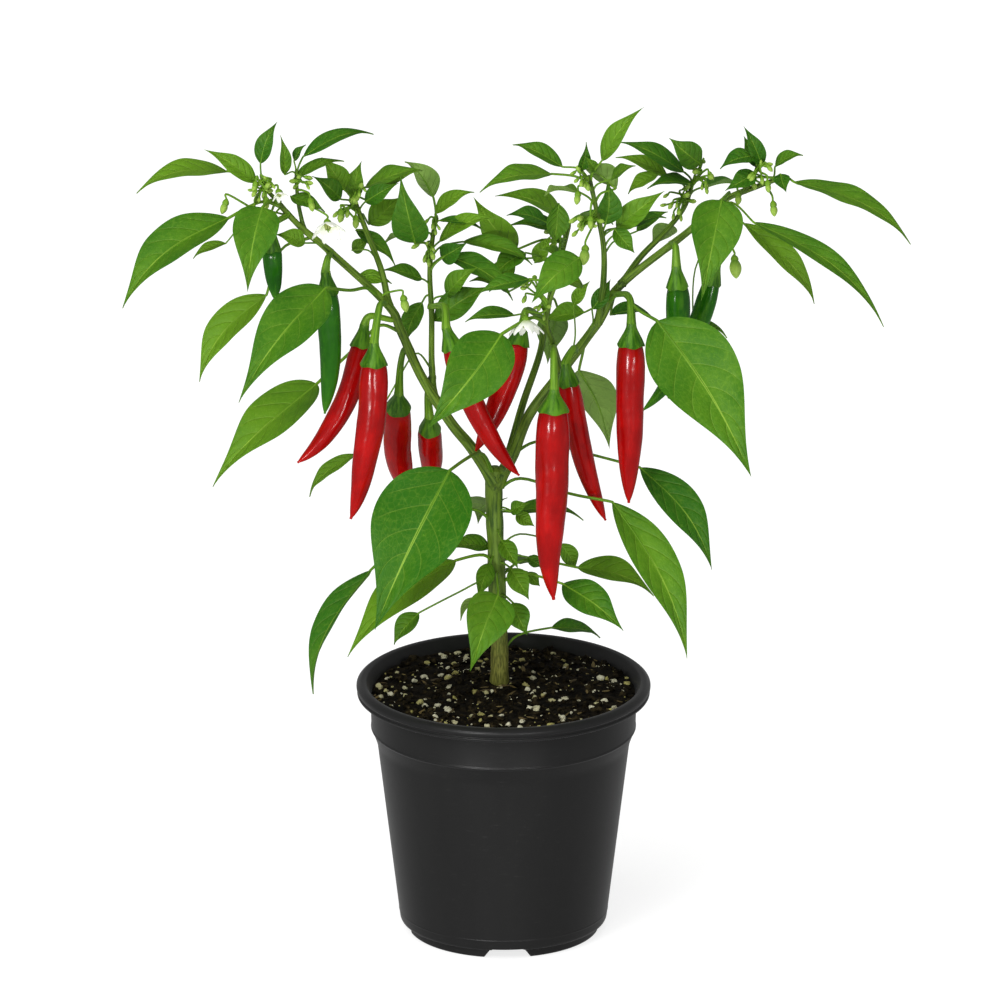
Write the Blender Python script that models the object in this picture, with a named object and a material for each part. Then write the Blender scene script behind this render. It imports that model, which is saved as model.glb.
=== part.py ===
"""A chilli pepper plant in a round nursery pot.

Everything is written in millimetres and turned into metres when a mesh is made. X runs across the
plant, Y away from its front and Z up; the origin is the middle of the pot's flat underside. The
plant's own points give their height above the crown of the soil, which is the top of its low mound.
"""

import math
from collections import namedtuple

import bmesh
import bpy
from mathutils import Vector

MM = 0.001

# The pot, a thin moulded shell with a thick lip, a collar and a foot.
POT_HEIGHT = 142.0
RIM_RADIUS = 80.0
WALL = 1.6
COLLAR_RADIUS = 72.4
COLLAR_TOP = 134.3
COLLAR_FOOT = 116.0
BODY_TOP = 107.5
BODY_TOP_RADIUS = 68.6
BODY_FOOT = 7.0
BODY_FOOT_RADIUS = 56.2
FOOT_RADIUS = 52.3
FOOT_HEIGHT = 5.2
POT_SIDES = 48

# The drain notches, which are cut into the foot and walled on the inside.
NOTCHES = 4
NOTCH_TURN = 2.4
NOTCH_HEIGHT = 5.8
NOTCH_WIDTH = 32.0
NOTCH_TOP_WIDTH = 17.0
NOTCH_INNER = 44.0
NOTCH_OUTER = 62.0
DRAIN_WIDTH = 9.0
DRAIN_TOP = 4.6

# The soil: its edge lies below the lip, and its crown is a little higher.
SOIL_CROWN = 138.5
SOIL_EDGE = 135.2
SOIL_GAP = 0.6
SOIL_FOOT = 2.4
SOIL_NOTCH_RADIUS = 40.0
SOIL_NOTCH_TOP = 9.0

# The plant.
ROOT_DEPTH = 24.0
JOINT_GAP = 0.9
SQUARE_SHARE = 0.25
LEAF_THICKNESS = 0.9
LEAF_FOLD = 0.30
PETIOLE_RADIUS = 0.9
STALK_RADIUS = 1.6
CALYX_HEIGHT = 8.0

Limb = namedtuple("Limb", "name points thick thin sides")
Leaf = namedtuple("Leaf", "name limb height base tip width face arch via", defaults=(0.08, None))
Pod = namedtuple("Pod", "name ripe limb height via top tip radius bow")

LIMBS = (
    Limb("trunk", ((-2, 8, -24), (-2, 8, 0), (-2, 8, 24), (-3, 8, 47), (-4, 7, 76), (-5, 7, 105),
                   (-5, 7, 124)), 4.9, 4.5, 10),
    Limb("left_main", ((-5, 6, 116), (-18, 3, 137), (-29, -2, 153), (-45, -11, 183), (-56, -19, 212),
                       (-63, -24, 228), (-94, -40, 264), (-110, -48, 281), (-123, -54, 298)), 3.3, 1.4, 8),
    Limb("right_main", ((-4, 6, 114), (5, 8, 131), (14, 10, 153), (31, 13, 176), (52, 16, 205),
                        (63, 18, 224), (100, 24, 253), (119, 26, 270), (137, 26, 278), (150, 26, 283)),
         3.3, 1.2, 8),
    Limb("left_rise", ((-62, -22, 226), (-66, -13, 243), (-73, 3, 257), (-80, 18, 271), (-82, 22, 278)),
         1.9, 1.1, 6),
    Limb("middle_left_rise", ((-38, -6, 170), (-39, 2, 187), (-39, 11, 210), (-40, 21, 232),
                              (-38, 29, 251), (-36, 32, 259)), 1.8, 1.1, 6),
    Limb("middle_rise", ((1, 6, 124), (6, 14, 141), (11, 24, 156), (19, 40, 175), (22, 50, 187),
                         (26, 62, 206), (32, 75, 224), (36, 83, 238)), 2.3, 1.2, 6),
    Limb("front_twig", ((31, 13, 177), (27, -5, 198), (23, -19, 216), (26, -27, 234), (34, -34, 256)),
         1.7, 1.0, 6),
    Limb("right_rise", ((51, 16, 203), (54, 3, 231), (54, -8, 256), (50, -18, 281), (46, -22, 301)),
         1.9, 1.1, 6),
    Limb("right_back_rise", ((64, 18, 225), (74, 30, 236), (87, 42, 246), (98, 50, 258), (103, 53, 273)),
         1.9, 1.1, 6),
    Limb("left_end_twig", ((-121, -53, 296), (-128, -56, 305), (-131, -58, 314)), 1.2, 0.9, 6),
    Limb("left_inner_twig", ((-108, -46, 279), (-111, -45, 295), (-112, -43, 312)), 1.2, 0.9, 6),
    Limb("right_end_twig", ((130, 26, 275), (135, 24, 284), (138, 22, 293)), 1.2, 0.9, 6),
)

LEAVES = (
    Leaf("leaf_far_left", "left_main", 293, (-148, -69, 293), (-206, -101, 254), 28, (-0.4, -0.6, 0.7)),
    Leaf("leaf_left_front", "left_main", 294, (-127, -72, 300), (-138, -98, 261), 27, (-0.1, -0.9, 0.4)),
    Leaf("leaf_left_hanging", "left_main", 255, (-96, -72, 254), (-143, -117, 206), 34,
         (-0.2, -0.8, 0.5)),
    Leaf("leaf_left_behind", "left_main", 273, (-128, -37, 238), (-165, -53, 194), 27, (-0.3, -0.6, 0.7)),
    Leaf("leaf_left_low", "left_main", 208, (-101, -14, 179), (-158, -46, 132), 31, (-0.3, -0.6, 0.7),
         0.08, (-78, 0, 197)),
    Leaf("leaf_left_top", "left_end_twig", 307, (-149, -53, 314), (-198, -69, 308), 20, (0, -0.4, 1),
         0.14),
    Leaf("leaf_left_inner", "left_inner_twig", 307, (-108, -43, 319), (-70, -27, 328), 15,
         (0, -0.5, 0.9)),
    Leaf("leaf_left_small_low", "middle_left_rise", 181, (-80, 27, 124), (-106, 37, 96), 15,
         (-0.3, -0.6, 0.7), 0.08, (-60, 46, 155)),
    Leaf("leaf_great_left", "trunk", 118, (-29, -53, 143), (-70, -98, 68), 52, (-0.2, -0.9, 0.4), 0.06),
    Leaf("leaf_low_left", "trunk", 66, (-26, -13, 77), (-85, -61, 41), 32, (-0.3, -0.6, 0.7)),
    Leaf("leaf_low_left_narrow", "trunk", 90, (-72, -37, 80), (-106, -62, 19), 26, (-0.9, -0.4, 0.3),
         0.08, (-42, -8, 98)),
    Leaf("leaf_low_right_great", "trunk", 108, (59, -14, 111), (101, -53, 36), 28, (0.3, -0.7, 0.6)),
    Leaf("leaf_low_right_high", "right_main", 150, (74, 11, 122), (114, -14, 73), 25, (0.3, -0.7, 0.6),
         0.08, (44, 22, 138)),
    Leaf("leaf_low_right_back", "trunk", 58, (40, 18, 62), (82, 8, 50), 22, (0.1, -0.5, 0.9)),
    Leaf("leaf_low_right_front", "trunk", 52, (32, -14, 64), (65, -37, 46), 22, (0.2, -0.8, 0.6)),
    Leaf("leaf_foot_right", "trunk", 14, (26, 27, 24), (53, 37, 15), 14, (0, -0.3, 1)),
    Leaf("leaf_foot_front", "trunk", 58, (-3, -24, 61), (-18, -46, 25), 26, (0, -1, 0.2)),
    Leaf("leaf_great_right", "right_main", 230, (83, -37, 223), (134, -85, 151), 46, (0.2, -0.9, 0.4),
         0.06),
    Leaf("leaf_right_front", "right_main", 269, (118, -5, 281), (107, -34, 234), 30, (0, -1, 0.2)),
    Leaf("leaf_far_right_high", "right_main", 282, (157, 11, 286), (221, -5, 257), 26, (0.3, -0.4, 0.9)),
    Leaf("leaf_far_right", "right_main", 274, (135, -21, 274), (207, -53, 228), 28, (0.3, -0.5, 0.8)),
    Leaf("leaf_right_behind", "right_main", 272, (130, 38, 253), (170, 43, 205), 24, (0.2, -0.6, 0.7)),
    Leaf("leaf_middle_front", "front_twig", 214, (-1, -50, 220), (-41, -78, 176), 34, (-0.1, -0.9, 0.4)),
    Leaf("leaf_middle_high", "front_twig", 249, (41, -45, 262), (15, -62, 242), 24, (-0.1, -0.9, 0.5)),
    Leaf("leaf_middle_back", "right_main", 185, (41, 51, 164), (58, 67, 114), 26, (0.2, 0.9, 0.4)),
    Leaf("leaf_upright_left", "middle_left_rise", 238, (-48, 5, 253), (-56, -8, 295), 21,
         (-0.2, -0.9, 0.2)),
    Leaf("leaf_crown_left", "left_rise", 273, (-75, 19, 280), (-44, 14, 292), 18, (0, -0.5, 0.9)),
    Leaf("leaf_top_right", "right_rise", 296, (53, -27, 311), (75, -37, 345), 16, (-0.4, -0.8, 0.5)),
    Leaf("leaf_top_middle", "right_rise", 290, (26, -37, 307), (-13, -53, 303), 21, (0, -0.5, 0.9), 0.14),
    Leaf("leaf_top_middle_back", "right_rise", 297, (32, -5, 300), (5, 2, 311), 15, (0, -0.5, 0.9)),
    Leaf("leaf_crown_right", "right_back_rise", 270, (107, 46, 284), (90, 43, 300), 20,
         (-0.2, -0.7, 0.6)),
)

PODS = (
    Pod("far_left", True, "left_main", 219, (-72, -26, 222), (-77, -27, 206), (-110, -43, 143), 6.4,
        (5, 0, -4)),
    Pod("left_front", True, "left_main", 230, (-67, -43, 233), (-70, -53, 205), (-82, -56, 116), 8.0,
        (3, 0, 0)),
    Pod("left_inner", True, "left_main", 197, (-56, -8, 186), (-57, -8, 164), (-55, 30, 104), 7.4,
        (-1, 0, 0)),
    Pod("middle_left_back", True, "middle_left_rise", 177, (-41, 13, 164), (-40, 16, 143),
        (-39, 43, 105), 6.4, (0, 0, 0)),
    Pod("middle_left", True, "middle_left_rise", 213, (-32, -11, 222), (-28, -24, 204), (7, -27, 130),
        6.4, (-3, 0, -2)),
    Pod("middle_back", True, "middle_rise", 190, (13, 24, 208), (8, 5, 196), (-15, -11, 139), 6.2,
        (2, 0, 0)),
    Pod("middle_front", True, "front_twig", 199, (27, -26, 201), (27, -37, 170), (24, -40, 64), 9.2,
        (0, 0, 0)),
    Pod("middle_right", True, "right_main", 187, (38, -2, 195), (35, -10, 179), (54, -2, 96), 6.4,
        (-2, 0, 0)),
    Pod("right_front", True, "right_main", 220, (68, -3, 225), (69, -18, 201), (68, -21, 113), 8.0,
        (0, 0, 0)),
    Pod("green_far_left", False, "left_main", 289, (-123, -62, 288), (-125, -61, 273),
        (-123, -61, 244), 5.2, (0, 0, 0)),
    Pod("green_left", False, "left_main", 263, (-95, -54, 264), (-95, -54, 246), (-96, -54, 176), 6.4,
        (2, 0, 0)),
    Pod("green_right", False, "right_main", 244, (93, 8, 250), (94, 5, 229), (90, 5, 164), 6.6,
        (2, 0, 0)),
    Pod("green_right_back", False, "right_main", 262, (114, 37, 246), (113, 34, 221), (77, 34, 146),
        5.6, (4, 0, -3)),
)


def material(name, colour, roughness):
    """A Principled material, made once and shared."""
    made = bpy.data.materials.get(name)
    if made is None:
        made = bpy.data.materials.new(name)
        made.use_nodes = True
        shader = made.node_tree.nodes["Principled BSDF"]
        shader.inputs["Base Color"].default_value = (*colour, 1)
        shader.inputs["Roughness"].default_value = roughness
        shader.inputs["Metallic"].default_value = 0
    return made


def pot_plastic():
    return material("pot_plastic", (0.035, 0.036, 0.038), 0.42)


def soil():
    return material("soil", (0.030, 0.020, 0.014), 0.95)


def green_stem():
    return material("green_stem", (0.165, 0.235, 0.060), 0.55)


def leaf_green():
    return material("leaf_green", (0.075, 0.215, 0.030), 0.50)


def ripe_red():
    return material("ripe_red", (0.610, 0.020, 0.016), 0.25)


def unripe_green():
    return material("unripe_green", (0.045, 0.170, 0.030), 0.30)


def calyx_green():
    return material("calyx_green", (0.085, 0.240, 0.035), 0.50)


def mesh_object(name, points, faces, look, hidden=False):
    """An object from points in millimetres; a hidden one is a cutter or a piece of a union."""
    mesh = bpy.data.meshes.new(name)
    mesh.from_pydata([Vector(p) * MM for p in points], [], faces)
    skin = bmesh.new()
    skin.from_mesh(mesh)
    bmesh.ops.recalc_face_normals(skin, faces=skin.faces)
    skin.to_mesh(mesh)
    skin.free()
    mesh.materials.append(look)
    mesh.shade_smooth()
    mesh.set_sharp_from_angle(angle=math.radians(40))
    made = bpy.data.objects.new(name, mesh)
    bpy.context.scene.collection.objects.link(made)
    if hidden:
        made.hide_render = True
        made.display_type = "WIRE"
    return made


def combine(target, tool, operation):
    """Adds an exact Boolean with a hidden tool."""
    step = target.modifiers.new(f"{operation.lower()}_{tool.name}", "BOOLEAN")
    step.operation = operation
    step.solver = "EXACT"
    step.object = tool


def lathe(name, profile, sides, look, hidden=False):
    """Turns (radius, height) points, listed from axis to axis, round the pot's axis."""
    points, faces, rings = [], [], []
    for radius, height in profile:
        if radius == 0:
            rings.append([len(points)] * sides)
            points.append((0, 0, height))
            continue
        rings.append(list(range(len(points), len(points) + sides)))
        for i in range(sides):
            angle = math.tau * i / sides
            points.append((radius * math.cos(angle), radius * math.sin(angle), height))
    for lower, upper in zip(rings, rings[1:]):
        for i in range(sides):
            j = (i + 1) % sides
            corners = (lower[i], lower[j], upper[j], upper[i])
            faces.append(tuple(dict.fromkeys(corners)))
    return mesh_object(name, points, faces, look, hidden)


def loft(name, rings, look, hidden=False):
    """One closed skin over rings of equal length, capped at both ends."""
    count = len(rings[0])
    points = [p for ring in rings for p in ring]
    faces = [tuple(range(count))]
    for r in range(len(rings) - 1):
        for i in range(count):
            j = (i + 1) % count
            faces.append((r * count + i, r * count + j, (r + 1) * count + j, (r + 1) * count + i))
    faces.append(tuple(range(len(points) - count, len(points))))
    return mesh_object(name, points, faces, look, hidden)


def smooth_path(points, per_span):
    """A Catmull-Rom curve through the points, read at even steps of each span."""
    knots = [Vector(p) for p in points]
    knots = [2 * knots[0] - knots[1], *knots, 2 * knots[-1] - knots[-2]]
    path = []
    for a, b, c, d in zip(knots, knots[1:], knots[2:], knots[3:]):
        for i in range(per_span):
            t = i / per_span
            path.append(0.5 * (2 * b + (c - a) * t + (2 * a - 5 * b + 4 * c - d) * t**2
                               + (3 * b - 3 * c + d - a) * t**3))
    path.append(knots[-2])
    return path


def tangents(path):
    ends = [path[0], *path, path[-1]]
    return [(after - before).normalized() for before, after in zip(ends, ends[2:])]


def carried(directions, normal):
    """Normals to each direction, every one turned as little as it can be from the one before."""
    found = []
    for along in directions:
        normal = (normal - along * normal.dot(along)).normalized()
        found.append(normal)
    return found


def tube_rings(path, radii, sides):
    along = tangents(path)
    axes = (Vector((1, 0, 0)), Vector((0, 1, 0)), Vector((0, 0, 1)))
    normals = carried(along, min(axes, key=lambda axis: abs(axis.dot(along[0]))))
    rings = []
    for centre, radius, direction, normal in zip(path, radii, along, normals):
        side = direction.cross(normal)
        angles = [math.tau * i / sides for i in range(sides)]
        rings.append([centre + radius * (math.cos(a) * normal - math.sin(a) * side) for a in angles])
    return rings


def on_crown(points):
    """Points given above the crown of the soil, in the pot's own heights."""
    return [Vector(p) + Vector((0, 0, SOIL_CROWN)) for p in points]


def limb_radius(limb, share):
    return limb.thick + (limb.thin - limb.thick) * share


def place_on(limb_name, height):
    """The centre, direction and radius of a limb where it reaches a height above the soil's crown."""
    limb = next(x for x in LIMBS if x.name == limb_name)
    path = smooth_path(on_crown(limb.points), 12)
    for i, point in enumerate(path):
        if point.z >= height + SOIL_CROWN:
            break
    return point, tangents(path)[i], limb_radius(limb, i / (len(path) - 1))


def leave_limb(limb_name, height, towards):
    """The first two points of a stalk that heads for a point; it starts square to the limb, clear of it."""
    centre, along, radius = place_on(limb_name, height)
    away = towards - centre
    square = (away - along * away.dot(along)).normalized()
    start = centre + square * (radius + JOINT_GAP)
    return [start, start + square * SQUARE_SHARE * (towards - start).length]


def inner_wall(height):
    """The pot's inner radius at a height, from its foot to its lip."""
    line = ((BODY_FOOT, BODY_FOOT_RADIUS), (BODY_TOP, BODY_TOP_RADIUS), (COLLAR_FOOT, COLLAR_RADIUS - 0.6),
            (COLLAR_TOP, COLLAR_RADIUS))
    for (low, small), (high, large) in zip(line, line[1:]):
        if height <= high:
            break
    return small + (large - small) * (height - low) / (high - low) - WALL


def pot_outside():
    return [
        (0, 0), (FOOT_RADIUS - 2.2, 0), (FOOT_RADIUS - 0.6, 0.8), (FOOT_RADIUS, 2.2),
        (FOOT_RADIUS + 0.2, FOOT_HEIGHT), (BODY_FOOT_RADIUS - 0.8, FOOT_HEIGHT + 0.5),
        (BODY_FOOT_RADIUS, BODY_FOOT), (BODY_TOP_RADIUS, BODY_TOP), (COLLAR_RADIUS - 0.6, COLLAR_FOOT),
        (COLLAR_RADIUS, COLLAR_TOP), (RIM_RADIUS - 1.2, COLLAR_TOP), (RIM_RADIUS - 0.2, COLLAR_TOP + 1.2),
        (RIM_RADIUS, POT_HEIGHT - 2.2), (RIM_RADIUS - 0.8, POT_HEIGHT - 0.6),
        (RIM_RADIUS - 2.4, POT_HEIGHT),
    ]


def pot_inside():
    return [
        (RIM_RADIUS - 4.4, POT_HEIGHT - 0.2), (RIM_RADIUS - 5.4, POT_HEIGHT - 1.2),
        (inner_wall(COLLAR_TOP), COLLAR_TOP - 1.5), (inner_wall(COLLAR_FOOT), COLLAR_FOOT),
        (inner_wall(BODY_TOP), BODY_TOP), (inner_wall(BODY_FOOT), BODY_FOOT + 1.5),
        (FOOT_RADIUS - WALL, FOOT_HEIGHT + 1.2), (FOOT_RADIUS - WALL, WALL), (0, WALL),
    ]


def wedge(name, turn, inner, outer, foot_width, top_width, floor, top):
    """A prism that points outward along one direction of the pot, narrower at its top."""
    out = Vector((math.sin(turn), -math.cos(turn), 0))
    side = Vector((math.cos(turn), math.sin(turn), 0))
    section = ((-foot_width / 2, floor), (foot_width / 2, floor), (top_width / 2, top), (-top_width / 2, top))
    rings = [[out * reach + side * across + Vector((0, 0, up)) for across, up in section]
             for reach in (outer, inner)]
    return loft(name, rings, pot_plastic(), hidden=True)


def build_pot():
    pot = lathe("pot", pot_outside() + pot_inside(), POT_SIDES, pot_plastic())
    envelope = lathe("pot_envelope", [*pot_outside(), (0, POT_HEIGHT)], POT_SIDES, pot_plastic(), hidden=True)
    for i in range(NOTCHES):
        turn = math.radians(NOTCH_TURN) + math.tau * i / NOTCHES
        lining = wedge(f"lining_{i}", turn, NOTCH_INNER - WALL, NOTCH_OUTER, NOTCH_WIDTH + 2 * WALL,
                       NOTCH_TOP_WIDTH + 2 * WALL, 0.2, NOTCH_HEIGHT + WALL)
        combine(lining, envelope, "INTERSECT")
        combine(pot, lining, "UNION")
    for i in range(NOTCHES):
        turn = math.radians(NOTCH_TURN) + math.tau * i / NOTCHES
        notch = wedge(f"notch_{i}", turn, NOTCH_INNER, NOTCH_OUTER, NOTCH_WIDTH, NOTCH_TOP_WIDTH,
                      -0.5, NOTCH_HEIGHT)
        combine(pot, notch, "DIFFERENCE")
        drain = wedge(f"drain_{i}", turn, NOTCH_INNER - 3 * WALL, NOTCH_INNER + 1, DRAIN_WIDTH, DRAIN_WIDTH,
                      WALL + 0.2, DRAIN_TOP)
        combine(pot, drain, "DIFFERENCE")


def build_soil():
    edge = inner_wall(COLLAR_TOP) - SOIL_GAP
    profile = [(0, SOIL_FOOT), (SOIL_NOTCH_RADIUS, SOIL_FOOT), (SOIL_NOTCH_RADIUS, SOIL_NOTCH_TOP)]
    for height in (SOIL_NOTCH_TOP + 1, BODY_TOP, COLLAR_FOOT):
        profile.append((inner_wall(height) - SOIL_GAP, height))
    profile.append((edge, COLLAR_TOP - 2))
    for share in (0.98, 0.75, 0.5, 0.25):
        rise = (SOIL_CROWN - SOIL_EDGE) * (1 - share**2)
        profile.append((edge * share, SOIL_EDGE + rise))
    profile.append((0, SOIL_CROWN))
    ground = lathe("potting_soil", profile, POT_SIDES, soil())
    trunk = LIMBS[0]
    across, away, _ = trunk.points[0]
    path = [Vector((across, away, SOIL_CROWN - ROOT_DEPTH - 1)), Vector((across, away, SOIL_CROWN + 5))]
    planting_hole = loft("planting_hole", tube_rings(path, [trunk.thick + 0.6] * 2, 12), soil(), hidden=True)
    combine(ground, planting_hole, "DIFFERENCE")


def build_stem():
    """The trunk and all its limbs, grown as one piece."""
    pieces = []
    for limb in LIMBS:
        path = smooth_path(on_crown(limb.points), 2)
        radii = [limb_radius(limb, i / (len(path) - 1)) for i in range(len(path))]
        whole = limb.name == "trunk"
        pieces.append(loft("stem" if whole else limb.name, tube_rings(path, radii, limb.sides),
                           green_stem(), hidden=not whole))
    for piece in pieces[1:]:
        combine(pieces[0], piece, "UNION")


def blade_width(share):
    """A leaf's width along its blade, as a share of the widest: pointed, and fullest near its foot."""
    return math.sin(math.pi * share**0.72) ** 0.85 if 0 < share < 1 else 0.0


def build_leaf(leaf):
    """A petiole and a folded blade in one skin."""
    base, tip = on_crown((leaf.base, leaf.tip))
    blade = tip - base
    face = Vector(leaf.face)
    face = (face - blade.normalized() * face.dot(blade.normalized())).normalized()
    first = on_crown((leaf.via,))[0] if leaf.via else base
    knots = leave_limb(leaf.limb, leaf.height, first)
    knots += ([first] if leaf.via else []) + [base - 0.1 * blade.normalized()]
    petiole = smooth_path(knots, 2)
    steps = 7
    path, half_widths = list(petiole), [PETIOLE_RADIUS] * len(petiole)
    for i in range(1, steps + 1):
        share = i / steps
        lift = leaf.arch * blade.length * 4 * share * (1 - share)
        path.append(base + blade * share + face * lift)
        half_widths.append(max(leaf.width / 2 * blade_width(share), 0.4))
    along = tangents(path)
    normals = [carried([direction], face)[0] for direction in along[len(petiole):]]
    normals = carried(along[:len(petiole)][::-1], normals[0])[::-1] + normals
    rings = []
    for centre, half, direction, normal in zip(path, half_widths, along, normals):
        side = direction.cross(normal)
        flat = min(half, LEAF_THICKNESS) / 2 if half > PETIOLE_RADIUS or centre is path[-1] else half * 0.87
        fold = LEAF_FOLD * half if half > PETIOLE_RADIUS else 0
        section = ((1, 1, 0), (0.5, 0.25, 1), (-0.5, 0.25, 1), (-1, 1, 0), (-0.5, 0.25, -1), (0.5, 0.25, -1))
        rings.append([centre + side * half * across + normal * (fold * lifted + flat * skin)
                      for across, lifted, skin in section])
    loft(leaf.name, rings, leaf_green())


def pod_path(pod, steps):
    top, tip = on_crown((pod.top, pod.tip))
    bow = Vector(pod.bow)
    return [top + (tip - top) * t + bow * 4 * t * (1 - t) for t in (i / steps for i in range(steps + 1))]


def pod_girth(share):
    """A pod's radius along its length: a round shoulder, a long body and a blunt point."""
    shoulder = min(1.0, 0.72 + 2.2 * share)
    taper = max(0.0, 1 - share**3.6) ** 0.75
    return max(shoulder * taper, 0.06)


def build_pod(pod):
    """The pod, and its stalk with the cap that holds it."""
    path = pod_path(pod, 9)
    radii = [pod.radius * pod_girth(i / 9) for i in range(10)]
    name = f"pod_{pod.name}"
    loft(name, tube_rings(path, radii, 8), ripe_red() if pod.ripe else unripe_green())
    down = (path[1] - path[0]).normalized()
    cap_top = path[0] - down * CALYX_HEIGHT
    via = on_crown((pod.via,))[0]
    route = smooth_path([*leave_limb(pod.limb, pod.height, via), via, cap_top], 2)
    neck = STALK_RADIUS * 1.3
    widths = [STALK_RADIUS] * (len(route) - 1) + [neck]
    for share in (0.45, 1.0):
        reach = CALYX_HEIGHT * share - (JOINT_GAP if share == 1.0 else 0)
        route.append(cap_top + down * reach)
        widths.append(neck + (pod.radius * 0.78 - neck) * share)
    loft(f"stalk_{pod.name}", tube_rings(route, widths, 8), calyx_green())


def main():
    for old in list(bpy.data.objects):
        bpy.data.objects.remove(old, do_unlink=True)
    build_pot()
    build_soil()
    build_stem()
    for leaf in LEAVES:
        build_leaf(leaf)
    for pod in PODS:
        build_pod(pod)


main()
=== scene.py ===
"""The finished look of a chilli pepper plant in a round nursery pot.

Shapes are worked out in millimetres and turned into metres when a mesh is made. X runs across the
plant, Y away from its front and Z up, from the middle of the pot's flat underside. The plant's own
points give their height above the crown of the soil.
"""

from __future__ import annotations

import logging
import math
import random
from dataclasses import dataclass
from enum import Enum
from typing import Any, Iterable, Sequence

import bmesh
import bpy
import numpy as np
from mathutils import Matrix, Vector, noise

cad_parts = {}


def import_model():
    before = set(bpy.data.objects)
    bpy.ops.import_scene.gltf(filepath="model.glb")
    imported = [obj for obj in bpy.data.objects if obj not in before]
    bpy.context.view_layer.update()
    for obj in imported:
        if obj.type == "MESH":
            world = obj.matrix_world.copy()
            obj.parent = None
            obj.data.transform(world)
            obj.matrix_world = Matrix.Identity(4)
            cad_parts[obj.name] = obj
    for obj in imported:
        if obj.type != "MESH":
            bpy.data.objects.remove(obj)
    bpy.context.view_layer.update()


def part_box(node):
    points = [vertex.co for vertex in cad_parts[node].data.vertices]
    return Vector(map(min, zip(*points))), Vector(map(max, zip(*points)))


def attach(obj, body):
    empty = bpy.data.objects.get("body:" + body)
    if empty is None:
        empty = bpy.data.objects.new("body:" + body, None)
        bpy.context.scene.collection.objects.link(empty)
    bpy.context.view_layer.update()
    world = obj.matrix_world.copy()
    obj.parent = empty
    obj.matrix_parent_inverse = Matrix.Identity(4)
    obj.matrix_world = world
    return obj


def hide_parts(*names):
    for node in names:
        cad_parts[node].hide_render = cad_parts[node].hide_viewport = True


MM = 0.001
UP = (0.3, -1, 0.2)  # where the first column of a tube or a pod points
VEINS = 6.5  # side veins on each half of a leaf
VEIN_SWEEP = 0.25  # how far a side vein runs towards the tip, as a share of the leaf
Colour = tuple[float, float, float]
Point = tuple[float, float, float]
Array = np.ndarray
Wedge = tuple[float, tuple[float, float], float, float]
log = logging.getLogger("pepper_plant")


# ---------------------------------------------------------------- shader building


@dataclass(frozen=True)
class Value:
    """A number on a shader socket, which takes Python's operators."""

    bench: "Bench"
    socket: Any

    def _math(self, operation: str, *operands: Any) -> "Value":
        """Adds one Math node."""
        return self.bench.add("ShaderNodeMath", {"operation": operation}, dict(enumerate(operands)))

    def __add__(self, other: Any) -> "Value":
        """Sum."""
        return self._math("ADD", self, other)

    def __sub__(self, other: Any) -> "Value":
        """Difference."""
        return self._math("SUBTRACT", self, other)

    def __rsub__(self, other: Any) -> "Value":
        """Difference the other way round."""
        return self._math("SUBTRACT", other, self)

    def __mul__(self, other: Any) -> "Value":
        """Product."""
        return self._math("MULTIPLY", self, other)

    def __pow__(self, other: Any) -> "Value":
        """Power."""
        return self._math("POWER", self, other)

    def __abs__(self) -> "Value":
        """Size without sign."""
        return self._math("ABSOLUTE", self)

    __radd__ = __add__
    __rmul__ = __mul__

    def part(self) -> "Value":
        """The part after the decimal point."""
        return self._math("FRACT", self)

    def over(self, edge: float) -> "Value":
        """1 where the value is above the edge, else 0."""
        return self._math("GREATER_THAN", self, edge)


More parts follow.
